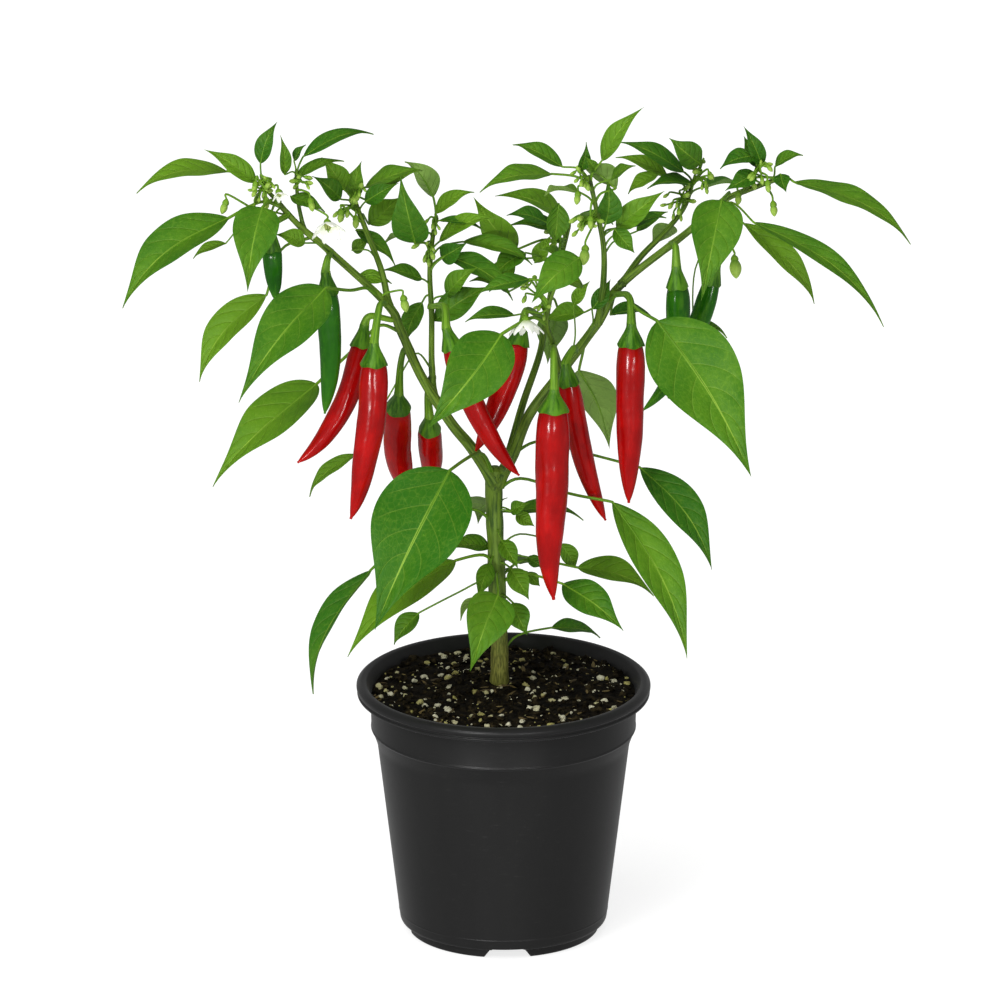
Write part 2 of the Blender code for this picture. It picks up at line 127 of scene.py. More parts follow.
class Bench:
    """Builds the nodes of one material."""

    def __init__(self, name: str) -> None:
        """Starts an empty material.

        Args:
            name: The material's name.
        """
        self.material = bpy.data.materials.new(name)
        self.material.use_nodes = True
        self.tree = self.material.node_tree
        self.tree.nodes.clear()

    def add(self, kind: str, settings: dict[str, Any] | None = None,
            values: dict[Any, Any] | None = None, out: Any = 0) -> Value:
        """Adds one node.

        Args:
            kind: The node's type.
            settings: Its own settings, set before the sockets.
            values: Links or constants, by socket name or number.
            out: The output that is wanted.

        Returns:
            The output, as a Value.
        """
        node = self.tree.nodes.new(kind)
        for key, setting in (settings or {}).items():
            setattr(node, key, setting)
        for key, value in (values or {}).items():
            if isinstance(value, Value):
                self.tree.links.new(value.socket, node.inputs[key])
            else:
                node.inputs[key].default_value = value
        return Value(self, node.outputs[out])

    def place(self) -> Value:
        """The point on the object, in metres."""
        return self.add("ShaderNodeTexCoord", out="Object")

    def mark(self, name: str) -> Value:
        """A vector that the mesh carries at each point."""
        return self.add("ShaderNodeAttribute", {"attribute_name": name}, out="Vector")

    def split(self, vector: Value) -> tuple[Value, Value, Value]:
        """The three numbers of a vector."""
        node = self.add("ShaderNodeSeparateXYZ", None, {0: vector}).socket.node
        return tuple(Value(self, socket) for socket in node.outputs)

    def stretch(self, vector: Value, by: Point) -> Value:
        """A vector with each of its numbers multiplied."""
        return self.add("ShaderNodeVectorMath", {"operation": "MULTIPLY"}, {0: vector, 1: by})

    def noise(self, vector: Value, scale: float, detail: float = 3.0, rough: float = 0.55) -> Value:
        """A cloudy pattern from 0 to 1."""
        return self.add("ShaderNodeTexNoise", None,
                        {"Vector": vector, "Scale": scale, "Detail": detail, "Roughness": rough})

    def cells(self, vector: Value, scale: float, feature: str = "DISTANCE_TO_EDGE") -> Value:
        """The distance to the edge or the middle of scattered cells."""
        return self.add("ShaderNodeTexVoronoi", {"feature": feature}, {"Vector": vector, "Scale": scale})

    def ease(self, value: Value, low: float, high: float) -> Value:
        """A smooth step from 0 at low to 1 at high."""
        return self.add("ShaderNodeMapRange", {"interpolation_type": "SMOOTHSTEP"},
                        {"Value": value, "From Min": low, "From Max": high})

    def blend(self, share: Any, first: Any, second: Any) -> Value:
        """A colour that goes from the first to the second as the share goes from 0 to 1."""
        pair = [c if isinstance(c, Value) else (*c, 1.0) for c in (first, second)]
        return self.add("ShaderNodeMix", {"data_type": "RGBA"}, {0: share, 6: pair[0], 7: pair[1]}, 2)

    def finish(self, colour: Value, roughness: Value, height: Value, depth: float,
               extra: dict[str, float] | None = None) -> bpy.types.Material:
        """Puts the shader at the end.

        Args:
            colour: The base colour.
            roughness: The roughness.
            height: The relief, from 0 to 1.
            depth: How deep the relief is, in millimetres.
            extra: Constant sockets of the shader.

        Returns:
            The material.
        """
        normal = self.add("ShaderNodeBump", None, {"Height": height, "Strength": 1.0, "Distance": depth * MM})
        sockets = {"Base Color": colour, "Roughness": roughness, "Normal": normal, **(extra or {})}
        skin = self.add("ShaderNodeBsdfPrincipled", None, sockets)
        self.add_output(skin)
        return self.material

    def add_output(self, skin: Value) -> None:
        """Links the shader to the material's surface."""
        node = self.tree.nodes.new("ShaderNodeOutputMaterial")
        self.tree.links.new(skin.socket, node.inputs["Surface"])


# ---------------------------------------------------------------- finishes


@dataclass(frozen=True)
class PlasticFinish:
    """Black moulded plastic: satin, with a faint flow grain, light scuffs and a little dust."""

    black: Colour = (0.0055, 0.0055, 0.0057)
    grey: Colour = (0.0090, 0.0090, 0.0087)
    worn: Colour = (0.032, 0.032, 0.030)

    def make(self) -> bpy.types.Material:
        """Makes the material."""
        b = Bench("pot_black_plastic")
        place = b.place()
        grain = b.noise(place, 2600, 2)
        flow = b.noise(b.stretch(place, (1, 1, 0.25)), 38, 4)
        scuffs = b.ease(b.noise(b.stretch(place, (1, 1, 9)), 120, 5, 0.7), 0.60, 0.78)
        dust = b.ease(b.noise(place, 900, 3), 0.66, 0.80)
        colour = b.blend(scuffs * 0.5 + dust * 0.35, b.blend(flow, self.black, self.grey), self.worn)
        rough = 0.31 + flow * 0.10 + scuffs * 0.14 + grain * 0.05
        return b.finish(colour, rough, grain * 0.35 + flow * 0.5 + scuffs * 0.15, 0.08,
                        {"Specular IOR Level": 0.33, "Sheen Weight": 0.10, "Sheen Roughness": 0.35})


@dataclass(frozen=True)
class EarthFinish:
    """Moist potting mix: near black, crumbly, with paler fibres."""

    name: str
    wet: Colour
    dry: Colour
    relief: float

    def make(self) -> bpy.types.Material:
        """Makes the material."""
        b = Bench(self.name)
        place = b.place()
        clods = b.noise(place, 210, 6, 0.65)
        crumbs = b.cells(place, 620, "F1")
        fibre = b.ease(b.noise(b.stretch(place, (1, 0.22, 1)), 1500, 3), 0.66, 0.78)
        colour = b.blend(b.ease(clods, 0.42, 0.72), self.wet, self.dry)
        colour = b.blend(fibre * 0.45, colour, (0.12, 0.10, 0.040))
        return b.finish(colour, 0.78 + clods * 0.2, clods * 0.6 + crumbs * 0.4, self.relief,
                        {"Specular IOR Level": 0.12})


@dataclass(frozen=True)
class StoneFinish:
    """Perlite: white to cream puffed stone with small pits, stained by the soil."""

    def make(self) -> bpy.types.Material:
        """Makes the material."""
        b = Bench("perlite_stone")
        place = b.place()
        _, _, own = b.split(b.mark("marks"))
        pits = b.cells(place, 2400, "F1")
        stain = b.ease(b.noise(place, 260, 4, 0.7), 0.46, 0.70)
        colour = b.blend(b.ease(own, 0.35, 0.95), (0.60, 0.58, 0.42), (0.36, 0.33, 0.10))
        colour = b.blend(stain * 0.75, colour, (0.10, 0.085, 0.030))
        return b.finish(colour, 0.72 + pits * 0.2, pits, 0.25)


@dataclass(frozen=True)
class BarkFinish:
    """Chips of bark and husk: brown, streaked along their grain."""

    def make(self) -> bpy.types.Material:
        """Makes the material."""
        b = Bench("bark_chip")
        _, _, own = b.split(b.mark("marks"))
        streaks = b.noise(b.stretch(b.mark("marks"), (1, 1, 40)), 5, 4)
        colour = b.blend(own, (0.020, 0.013, 0.006), (0.12, 0.085, 0.028))
        colour = b.blend(b.ease(streaks, 0.45, 0.75) * 0.6, colour, (0.22, 0.17, 0.06))
        return b.finish(colour, 0.7 + streaks * 0.2, streaks, 0.3)


@dataclass(frozen=True)
class StemFinish:
    """A green stem: long pale and dark streaks, dark joints and a corky foot.

    The mesh marks are the ring's cosine and sine and the length along it; its tints are how near a
    joint is, how corky the skin is, and a number of its own.
    """

    name: str
    light: Colour
    dark: Colour
    rough: float = 0.46

    def make(self) -> bpy.types.Material:
        """Makes the material."""
        b = Bench(self.name)
        marks = b.mark("marks")
        joint, cork, own = b.split(b.mark("tints"))
        streaks = b.noise(b.stretch(marks, (1, 1, 0.022)), 2.4, 4)
        fine = b.noise(b.stretch(marks, (1, 1, 0.035)), 7, 3)
        specks = b.ease(b.noise(b.place(), 1100, 3), 0.66, 0.78)
        colour = b.blend(b.ease(streaks + own * 0.12, 0.38, 0.72), self.light, self.dark)
        colour = b.blend(b.ease(fine, 0.55, 0.75) * 0.35, colour, (0.19, 0.30, 0.035))
        bark = b.blend(b.ease(fine, 0.35, 0.65), (0.055, 0.060, 0.008), (0.165, 0.170, 0.032))
        colour = b.blend(cork, colour, bark)
        scar = b.ease(joint * (0.45 + streaks * 0.9), 0.50, 0.95) * 0.85
        colour = b.blend(scar, colour, (0.012, 0.012, 0.010))
        colour = b.blend(specks * 0.10, colour, (0.30, 0.38, 0.08))
        return b.finish(colour, self.rough + fine * 0.15 + cork * 0.25, streaks * 0.5 + fine * 0.5, 0.22,
                        {"Specular IOR Level": 0.25})


@dataclass(frozen=True)
class LeafFinish:
    """One face of a leaf.

    The mesh marks are how far across the blade a point is, from -1 to 1, how far along it is, from
    0 to 1, and a number of the leaf's own.
    """

    name: str
    deep: Colour
    fresh: Colour
    vein: Colour
    vein_strength: float
    rough: float
    relief: float

    def make(self) -> bpy.types.Material:
        """Makes the material."""
        b = Bench(self.name)
        marks = b.mark("marks")
        across, along, own = b.split(marks)
        out = abs(across)
        phase = ((along - (out ** 1.3) * VEIN_SWEEP) * VEINS + across.over(0) * 0.5).part()
        near = abs(phase - 0.5) * 2
        fade = (1 - b.ease(out, 0.72, 1.0)) * (1 - b.ease(along, 0.82, 0.97))
        side = b.ease(near, 0.90, 0.99) * fade
        rib = 1 - b.ease(out, 0.012, 0.042)
        net = 1 - b.ease(b.cells(b.stretch(marks, (5.5, 15, 0)), 1.6), 0.02, 0.09)
        place = b.place()
        cloud = b.noise(place, 46, 4)
        spots = b.noise(place, 420, 3)
        tone = cloud * 0.50 + own * 0.55 + spots * 0.16 - out * 0.10 + along * 0.10
        colour = b.blend(b.ease(tone, 0.26, 0.92), self.deep, self.fresh)
        colour = b.blend(b.ease(spots, 0.50, 0.74) * 0.07, colour, self.vein)
        colour = b.blend(net * 0.05 * self.vein_strength, colour, self.vein)
        colour = b.blend(side * 0.15 * self.vein_strength, colour, self.vein)
        colour = b.blend(rib * 0.70 * self.vein_strength, colour, self.vein)
        pillow = (1 - near ** 3) * fade
        height = pillow * 0.55 + spots * 0.12 - net * 0.10 - side * 0.25 + b.noise(place, 1300, 2) * 0.08
        return b.finish(colour, self.rough + spots * 0.14 - rib * 0.05, height, self.relief,
                        {"Specular IOR Level": 0.22})


@dataclass(frozen=True)
class FruitFinish:
    """The waxy skin of a pod: deep gloss, faint long creases and a shoulder darkened as painted shade under
    the cap.

    The mesh marks are the ring's cosine and sine and the length along the pod; its tints are how
    near the shoulder is, where the cap's painted shade goes, how near the tip is, and a number of its own.
    """

    name: str
    body: Colour
    deep: Colour
    warm: Colour

    def make(self) -> bpy.types.Material:
        """Makes the material."""
        b = Bench(self.name)
        marks = b.mark("marks")
        shoulder, tip, own = b.split(b.mark("tints"))
        streaks = b.noise(b.stretch(marks, (1, 1, 0.05)), 1.8, 4)
        cloud = b.noise(b.place(), 60, 4)
        pores = b.noise(b.place(), 1900, 2)
        colour = b.blend(b.ease(cloud * 0.6 + streaks * 0.4, 0.34, 0.70), self.deep, self.body)
        colour = b.blend(b.ease(streaks + own * 0.2, 0.55, 0.85) * 0.45, colour, self.warm)
        # painted shade: the shoulder under the cap is darkened towards the deep colour
        colour = b.blend(shoulder * 0.55, colour, self.deep)
        colour = b.blend(tip * 0.35, colour, self.warm)
        dimples = b.noise(b.place(), 150, 1)
        rough = 0.16 + pores * 0.04 + cloud * 0.05
        return b.finish(colour, rough, streaks * 0.16 + cloud * 0.30 + dimples * 0.55, 0.50,
                        {"Coat Weight": 0.15, "Coat Roughness": 0.13, "Specular IOR Level": 0.20})


@dataclass(frozen=True)
class PetalFinish:
    """A soft thin skin, for petals, buds and anthers: a tint at the foot and fine lines along it."""

    name: str
    body: Colour
    foot: Colour
    rough: float = 0.55

    def make(self) -> bpy.types.Material:
        """Makes the material."""
        b = Bench(self.name)
        across, along, _ = b.split(b.mark("marks"))
        lines = b.noise(b.stretch(b.mark("marks"), (9, 1, 0)), 3, 3)
        colour = b.blend(1 - b.ease(along, 0.05, 0.55), self.body, self.foot)
        colour = b.blend(b.ease(lines, 0.45, 0.75) * 0.25, colour, self.foot)
        return b.finish(colour, self.rough + lines * 0.15, lines - abs(across) * 0.1, 0.15)


@dataclass(frozen=True)
class FloorFinish:
    """The pale table that the plant stands on, lit from within so that its shadow is faint."""

    def make(self) -> bpy.types.Material:
        """Makes the material."""
        b = Bench("lit_table")
        tone = b.noise(b.place(), 3, 3)
        colour = b.blend(tone, (0.34, 0.34, 0.34), (0.36, 0.36, 0.358))
        return b.finish(colour, 0.9 + tone * 0.05, b.noise(b.place(), 900, 2), 0.05,
                        {"Emission Color": (1, 1, 1, 1), "Emission Strength": 0.78,
                         "Specular IOR Level": 0.0})


class Look(Enum):
    """Every finish of the plant and its pot."""

    POT = PlasticFinish()
    EARTH = EarthFinish("potting_earth", (0.0018, 0.0014, 0.0009), (0.016, 0.012, 0.006), 1.2)
    CRUMB = EarthFinish("earth_crumb", (0.0030, 0.0022, 0.0012), (0.040, 0.030, 0.013), 0.6)
    STONE = StoneFinish()
    BARK = BarkFinish()
    STEM = StemFinish("stem_skin", (0.115, 0.200, 0.016), (0.024, 0.066, 0.004))
    STALK = StemFinish("stalk_skin", (0.140, 0.280, 0.016), (0.052, 0.140, 0.006), 0.40)
    CALYX = StemFinish("calyx_skin", (0.070, 0.190, 0.007), (0.018, 0.080, 0.002), 0.34)
    LEAF_TOP = LeafFinish("leaf_upper", (0.018, 0.098, 0.002), (0.095, 0.218, 0.007), (0.28, 0.43, 0.05),
                          1.0, 0.42, 0.50)
    LEAF_BACK = LeafFinish("leaf_under", (0.075, 0.165, 0.022), (0.150, 0.260, 0.046), (0.30, 0.43, 0.11),
                           1.0, 0.56, 0.50)
    RIPE = FruitFinish("pod_ripe", (0.330, 0.0015, 0.0015), (0.220, 0.001, 0.001), (0.400, 0.004, 0.002))
    UNRIPE = FruitFinish("pod_unripe", (0.020, 0.115, 0.003), (0.008, 0.072, 0.002), (0.065, 0.195, 0.006))
    PETAL = PetalFinish("petal_white", (0.82, 0.84, 0.76), (0.55, 0.66, 0.30))
    BUD = PetalFinish("bud_green", (0.24, 0.38, 0.045), (0.11, 0.24, 0.014))
    ANTHER = PetalFinish("anther", (0.36, 0.36, 0.12), (0.30, 0.36, 0.10))
    FLOOR = FloorFinish()

    def material(self) -> bpy.types.Material:
        """The finish as a material, made once."""
        if self not in _made:
            _made[self] = self.value.make()
        return _made[self]


_made: dict[Look, bpy.types.Material] = {}


# ---------------------------------------------------------------- curves and skins


def unit(vectors: Array) -> Array:
    """The vectors at length one."""
    length = np.linalg.norm(vectors, axis=-1, keepdims=True)
    return vectors / np.maximum(length, 1e-9)


def smooth_path(knots: Sequence[Any], per_span: int) -> Array:
    """A Catmull-Rom curve through the knots.

    Args:
        knots: The points to pass through.
        per_span: The steps between two of them.

    Returns:
        The curve's points.
    """
    k = np.array([tuple(p) for p in knots], float)
    k = np.vstack([2 * k[0] - k[1], k, 2 * k[-1] - k[-2]])
    t = (np.arange(per_span) / per_span)[:, None]
    spans = [0.5 * (2 * b + (c - a) * t + (2 * a - 5 * b + 4 * c - d) * t**2 + (3 * b - 3 * c + d - a) * t**3)
             for a, b, c, d in zip(k, k[1:], k[2:], k[3:])]
    return np.vstack([*spans, k[-2]])


def tangents(path: Array) -> Array:
    """The direction of a path at each of its points."""
    ends = np.vstack([path[0], path, path[-1]])
    return unit(ends[2:] - ends[:-2])


def lengths(path: Array) -> Array:
    """How far along the path each of its points is."""
    return np.concatenate([[0.0], np.cumsum(np.linalg.norm(np.diff(path, axis=0), axis=1))])


def carried_frames(path: Array, up: Sequence[float]) -> tuple[Array, Array]:
    """Frames that turn as little as they can along a path.

    Args:
        path: The points.
        up: The direction that the first normal is nearest to.

    Returns:
        The sides and the normals.
    """
    along = tangents(path)
    normals = np.empty_like(path)
    now = np.array(up, float)
    for i, direction in enumerate(along):
        now = now - direction * now.dot(direction)
        now = unit(now) if np.linalg.norm(now) > 1e-6 else np.array((1.0, 0.0, 0.0))
        normals[i] = now
    return np.cross(along, normals), normals


class Skin:
    """Gathers closed shapes into one mesh, with the marks and tints that finishes read."""

    def __init__(self) -> None:
        """Starts with nothing."""
        self.points: list[Array] = []
        self.faces: list[tuple[int, ...]] = []
        self.looks: list[int] = []
        self.marks: list[Array] = []
        self.tints: list[Array] = []
        self.count = 0

    def _take(self, points: Array, marks: Array, tints: Array) -> int:
        """Adds points and gives the number of the first."""
        first = self.count
        self.points.append(points)
        self.marks.append(np.broadcast_to(marks, points.shape))
        self.tints.append(np.broadcast_to(tints, points.shape))
        self.count += len(points)
        return first

    def loft(self, rings: Array, looks: int | Sequence[int] = 0, marks: Any = (0, 0, 0),
             tints: Any = (0, 0, 0)) -> None:
        """A closed skin over rings, with a point at the middle of each end.

        Args:
            rings: Points as rings x columns x 3.
            looks: The finish slot, or one for each column.
            marks: The marks, as one vector or rings x columns x 3.
            tints: The tints, in the same way.
        """
        rows, columns = rings.shape[:2]
        marks, tints = (np.broadcast_to(np.asarray(m, float), rings.shape) for m in (marks, tints))
        ends = np.array([rings[0].mean(axis=0), rings[-1].mean(axis=0)])
        first = self._take(
            np.vstack([rings.reshape(-1, 3), ends]),
            *(np.vstack([m.reshape(-1, 3), m[0].mean(axis=0), m[-1].mean(axis=0)]) for m in (marks, tints)),
        )
        slots = [looks] * columns if isinstance(looks, int) else list(looks)
        head, tail = first + rows * columns, first + rows * columns + 1
        for i in range(columns):
            j = (i + 1) % columns
            self.faces.append((head, first + j, first + i))
            self.looks.append(slots[i])
            for r in range(rows - 1):
                low, high = first + r * columns, first + (r + 1) * columns
                self.faces.append((low + i, low + j, high + j, high + i))
                self.looks.append(slots[i])
            last = first + (rows - 1) * columns
            self.faces.append((last + i, last + j, tail))
            self.looks.append(slots[i])

    def tube(self, path: Array, radii: Array, sides: int, look: int = 0, up: Point = UP,
             tints: Any = (0, 0, 0), ribs: tuple[int, float] = (0, 0.0), start: float = 0.0) -> None:
        """A round skin along a path.

        Args:
            path: The middle of the tube.
            radii: Its radius at each point.
            sides: The columns around it.
            look: The finish slot.
            up: Where the first column points.
            tints: One vector, or one for each point of the path.
            ribs: How many ribs run along it, and how high they are as a share of the radius.
            start: A length added to the marks, so that no two tubes have the same streaks.
        """
        side, normal = carried_frames(path, up)
        angle = np.arange(sides) * math.tau / sides
        cos, sin = np.cos(angle), np.sin(angle)
        swell = 1 + ribs[1] * np.cos(ribs[0] * angle)
        arms = cos[None, :, None] * normal[:, None] - sin[None, :, None] * side[:, None]
        rings = path[:, None] + arms * (np.asarray(radii)[:, None] * swell[None])[..., None]
        marks = np.empty_like(rings)
        marks[..., 0], marks[..., 1] = cos, sin
        marks[..., 2] = lengths(path)[:, None] + start
        tints = np.asarray(tints, float)
        if tints.ndim == 2:
            tints = np.broadcast_to(tints[:, None], rings.shape)
        self.loft(rings, look, marks, tints)

    def scatter(self, bits: Array, marks: Array, looks: int = 0) -> None:
        """Many copies of one closed ball of triangles.

        Args:
            bits: Points as bits x corners x 3, the corners being those of ``ball()``.
            marks: One vector for each bit.
            looks: The finish slot.
        """
        corners, triangles = ball()
        each = np.repeat(marks, len(corners), axis=0)
        first = self._take(bits.reshape(-1, 3), each, (0, 0, 0))
        for n in range(len(bits)):
            start = first + n * len(corners)
            self.faces.extend((start + a, start + b, start + c) for a, b, c in triangles)
        self.looks.extend([looks] * (len(bits) * len(triangles)))

    def build(self, name: str, looks: Iterable[Look], sharp: float = 42.0) -> bpy.types.Object:
        """Makes the object.

        Args:
            name: Its name.
            looks: Its finishes, by slot.
            sharp: The angle, in degrees, over which an edge stays sharp.

        Returns:
            The object, in the scene.
        """
        mesh = bpy.data.meshes.new(name)
        mesh.from_pydata((np.vstack(self.points) * MM).tolist(), [], self.faces)
        for look in looks:
            mesh.materials.append(look.material())
        mesh.polygons.foreach_set("material_index", self.looks)
        for label, rows in (("marks", self.marks), ("tints", self.tints)):
            kept = mesh.attributes.new(label, "FLOAT_VECTOR", "POINT")
            kept.data.foreach_set("vector", np.vstack(rows).astype(np.float32).ravel())
        skin = bmesh.new()
        skin.from_mesh(mesh)
        bmesh.ops.recalc_face_normals(skin, faces=skin.faces)
        skin.to_mesh(mesh)
        skin.free()
        mesh.shade_smooth()
        mesh.set_sharp_from_angle(angle=math.radians(sharp))
        made = bpy.data.objects.new(name, mesh)
        bpy.context.scene.collection.objects.link(made)
        return made


_ball: list[Any] = []


def ball() -> tuple[Array, list[tuple[int, ...]]]:
    """The corners and the triangles of a ball of radius one."""
    if not _ball:
        shape = bmesh.new()
        bmesh.ops.create_icosphere(shape, subdivisions=2, radius=1.0)
        shape.verts.ensure_lookup_table()
        corners = np.array([tuple(v.co) for v in shape.verts])
        _ball.append((corners, [tuple(v.index for v in f.verts) for f in shape.faces]))
        shape.free()
    return _ball[0]


def bake_modifiers(thing: bpy.types.Object) -> None:
    """Turns an object's modifiers into its mesh."""
    graph = bpy.context.evaluated_depsgraph_get()
    old = thing.data
    thing.data = bpy.data.meshes.new_from_object(thing.evaluated_get(graph), depsgraph=graph)
    thing.modifiers.clear()
    bpy.data.meshes.remove(old)


def combine(target: bpy.types.Object, tool: bpy.types.Object, operation: str) -> None:
    """Joins or cuts with a tool, which is used up."""
    step = target.modifiers.new(operation, "BOOLEAN")
    step.operation, step.solver, step.object = operation, "EXACT", tool
    bake_modifiers(target)
    bpy.data.objects.remove(tool, do_unlink=True)


def settle(piece: bpy.types.Object, slot: str, *nodes: str) -> None:
    """Says what a piece stands for and reports it.

    Args:
        piece: The finished object.
        slot: Not used.
        nodes: The plain solids that it takes the place of.
    """
    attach(piece, "root")
    if nodes:
        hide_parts(*nodes)
    log.info("%s: %d faces, for %s", piece.name, len(piece.data.polygons), ", ".join(nodes) or "nothing else")


# ---------------------------------------------------------------- the plant's plan


@dataclass(frozen=True)
class Limb:
    """A branch: the points it passes through and its radii at its foot and at its end."""

    name: str
    points: tuple[Point, ...]
    thick: float
    thin: float


@dataclass(frozen=True)
class Leaf:
    """A leaf: the limb and the height it leaves from, and its blade."""

    name: str
    limb: str
    height: float
    base: Point
    tip: Point
    width: float
    face: Point
    arch: float = 0.11
    via: Point | None = None
    peak: float = 0.40


@dataclass(frozen=True)
class Pod:
    """A pod: where its stalk leaves a limb and passes, and its own top, tip, radius and bow."""

    name: str
    ripe: bool
    limb: str
    height: float
    via: Point
    top: Point
    tip: Point
    radius: float
    bow: Point
    taper: float = 3.2


@dataclass(frozen=True)
class Bloom:
    """A bud or an open flower, on a stalk that leaves a limb."""

    limb: str
    height: float
    place: Point
    facing: Point
    size: float
    is_open: bool = False


LIMBS = (
    Limb("trunk", ((-2, 8, -24), (-2, 8, 0), (-2, 8, 24), (-3, 8, 47), (-4, 7, 76), (-5, 7, 105),
                   (-5, 7, 124)), 4.5, 4.4),
    Limb("left_main", ((-5, 6, 116), (-18, 3, 137), (-29, -2, 153), (-45, -11, 183), (-56, -19, 212),
                       (-63, -24, 228), (-94, -40, 264), (-110, -48, 281), (-123, -54, 298)), 3.3, 1.4),
    Limb("right_main", ((-4, 6, 114), (5, 8, 131), (14, 10, 153), (31, 13, 176), (52, 16, 205),
                        (63, 18, 224), (100, 24, 253), (119, 26, 270), (137, 26, 278), (150, 26, 283)),
         3.3, 1.2),
    Limb("left_rise", ((-62, -22, 226), (-66, -13, 243), (-73, 3, 257), (-80, 18, 271), (-82, 22, 278)),
         1.9, 1.1),
    Limb("middle_left_rise", ((-38, -6, 170), (-39, 2, 187), (-39, 11, 210), (-40, 21, 232),
                              (-38, 29, 251), (-36, 32, 259)), 1.8, 1.1),
    Limb("middle_rise", ((1, 6, 124), (6, 14, 141), (11, 24, 156), (19, 40, 175), (22, 50, 187),
                         (26, 62, 206), (32, 75, 224), (36, 83, 238)), 2.3, 1.2),
    Limb("front_twig", ((31, 13, 177), (27, -5, 198), (23, -19, 216), (26, -27, 234), (34, -34, 256)),
         1.7, 1.0),
    Limb("right_rise", ((51, 16, 203), (54, 3, 231), (54, -8, 256), (50, -18, 281), (46, -22, 301)),
         1.9, 1.1),
    Limb("right_back_rise", ((64, 18, 225), (74, 30, 236), (87, 42, 246), (98, 50, 258), (103, 53, 273)),
         1.9, 1.1),
    Limb("left_end_twig", ((-121, -53, 296), (-128, -56, 305), (-131, -58, 314)), 1.2, 0.9),
    Limb("left_inner_twig", ((-108, -46, 279), (-111, -45, 295), (-112, -43, 312)), 1.2, 0.9),
    Limb("right_end_twig", ((130, 26, 275), (135, 24, 284), (138, 22, 293)), 1.2, 0.9),
)

LEAVES = (
    Leaf("far_left", "left_main", 293, (-148, -69, 293), (-206, -101, 254), 27, (-0.4, -0.6, 0.7)),
    Leaf("left_front", "left_main", 294, (-130, -72, 300), (-138, -98, 261), 25, (-0.1, -0.9, 0.4),
         peak=0.27),
    Leaf("left_hanging", "left_main", 231, (-96, -72, 254), (-143, -117, 206), 31, (-0.2, -0.8, 0.5),
         0.11, (-83, -50, 245), peak=0.33),
    Leaf("left_behind", "left_main", 273, (-128, -37, 238), (-165, -53, 194), 20, (-0.3, -0.6, 0.7)),
    Leaf("left_low", "left_main", 208, (-101, -14, 179), (-158, -46, 132), 29, (-0.3, -0.6, 0.7),
         0.11, (-78, 0, 197), peak=0.33),
    Leaf("left_top", "left_end_twig", 307, (-149, -53, 314), (-198, -69, 308), 17, (0, -0.3, 1), 0.14),
    Leaf("left_inner", "left_inner_twig", 307, (-108, -43, 319), (-70, -27, 328), 11, (0, -0.4, 0.9)),
    Leaf("left_small_low", "middle_left_rise", 181, (-80, 27, 124), (-106, 37, 96), 9, (-0.3, -0.6, 0.7),
         0.11, (-60, 46, 155)),
    Leaf("great_left", "trunk", 118, (-29, -53, 143), (-70, -98, 68), 52, (-0.2, -0.9, 0.4), 0.06, peak=0.33),
    Leaf("low_left", "trunk", 66, (-26, -13, 77), (-85, -61, 41), 27, (-0.3, -0.6, 0.7)),
    Leaf("low_left_narrow", "trunk", 90, (-72, -37, 80), (-106, -62, 19), 23, (-0.9, -0.4, 0.3),
         0.11, (-42, -8, 98)),
    Leaf("low_right_great", "trunk", 108, (59, -14, 111), (101, -53, 36), 25, (0.3, -0.7, 0.6),
         0.11, (36, -6, 113)),
    Leaf("low_right_high", "right_main", 130, (74, 11, 122), (114, -14, 73), 22, (0.3, -0.7, 0.6),
         0.11, (44, 4, 133)),
    Leaf("low_right_back", "trunk", 58, (40, 18, 62), (82, 8, 50), 18, (0.1, -0.5, 0.9)),
    Leaf("low_right_front", "trunk", 52, (32, -14, 64), (65, -37, 46), 20, (0.2, -0.8, 0.6)),
    Leaf("foot_right", "trunk", 14, (26, 27, 24), (53, 37, 15), 14, (0, -0.3, 1)),
    Leaf("foot_front", "trunk", 58, (-3, -24, 61), (-18, -46, 25), 26, (0, -1, 0.2), peak=0.27),
    Leaf("great_right", "right_main", 214, (83, -37, 223), (134, -85, 151), 46, (0.2, -0.9, 0.4),
         0.06, (73, -16, 222), peak=0.33),
    Leaf("right_front", "right_main", 269, (118, -5, 281), (107, -34, 234), 28, (0, -1, 0.2), peak=0.27),
    Leaf("far_right_high", "right_main", 282, (157, 11, 286), (221, -5, 257), 17, (0.3, -0.3, 0.9)),
    Leaf("far_right", "right_main", 262, (135, -21, 274), (207, -53, 228), 15, (0.3, -0.4, 0.8)),
    Leaf("right_behind", "right_main", 257, (130, 38, 253), (170, 43, 205), 14, (0.2, -0.6, 0.7)),
    Leaf("middle_front", "front_twig", 214, (-1, -50, 220), (-41, -78, 176), 34, (-0.1, -0.9, 0.4),
         peak=0.33),
    Leaf("middle_high", "front_twig", 249, (41, -45, 262), (15, -62, 242), 20, (-0.1, -0.9, 0.5), peak=0.33),
    Leaf("middle_back", "right_main", 185, (41, 51, 164), (58, 67, 114), 24, (0.2, 0.9, 0.4)),
    Leaf("upright_left", "middle_left_rise", 238, (-48, 5, 253), (-56, -8, 295), 20, (-0.2, -0.9, 0.2),
         peak=0.33),
    Leaf("crown_left", "left_rise", 273, (-75, 19, 280), (-44, 14, 292), 14, (0, -0.35, 0.9)),
    Leaf("top_right", "right_rise", 296, (53, -27, 311), (75, -37, 345), 12, (-0.4, -0.8, 0.5)),
    Leaf("top_middle", "right_rise", 290, (26, -37, 307), (-13, -53, 303), 16, (0, -0.3, 0.9), 0.14),
    Leaf("top_middle_back", "right_rise", 297, (32, -5, 300), (5, 2, 311), 12, (0, -0.4, 0.9)),
    Leaf("crown_right", "right_back_rise", 270, (107, 46, 284), (90, 43, 300), 15, (-0.2, -0.7, 0.6)),
)

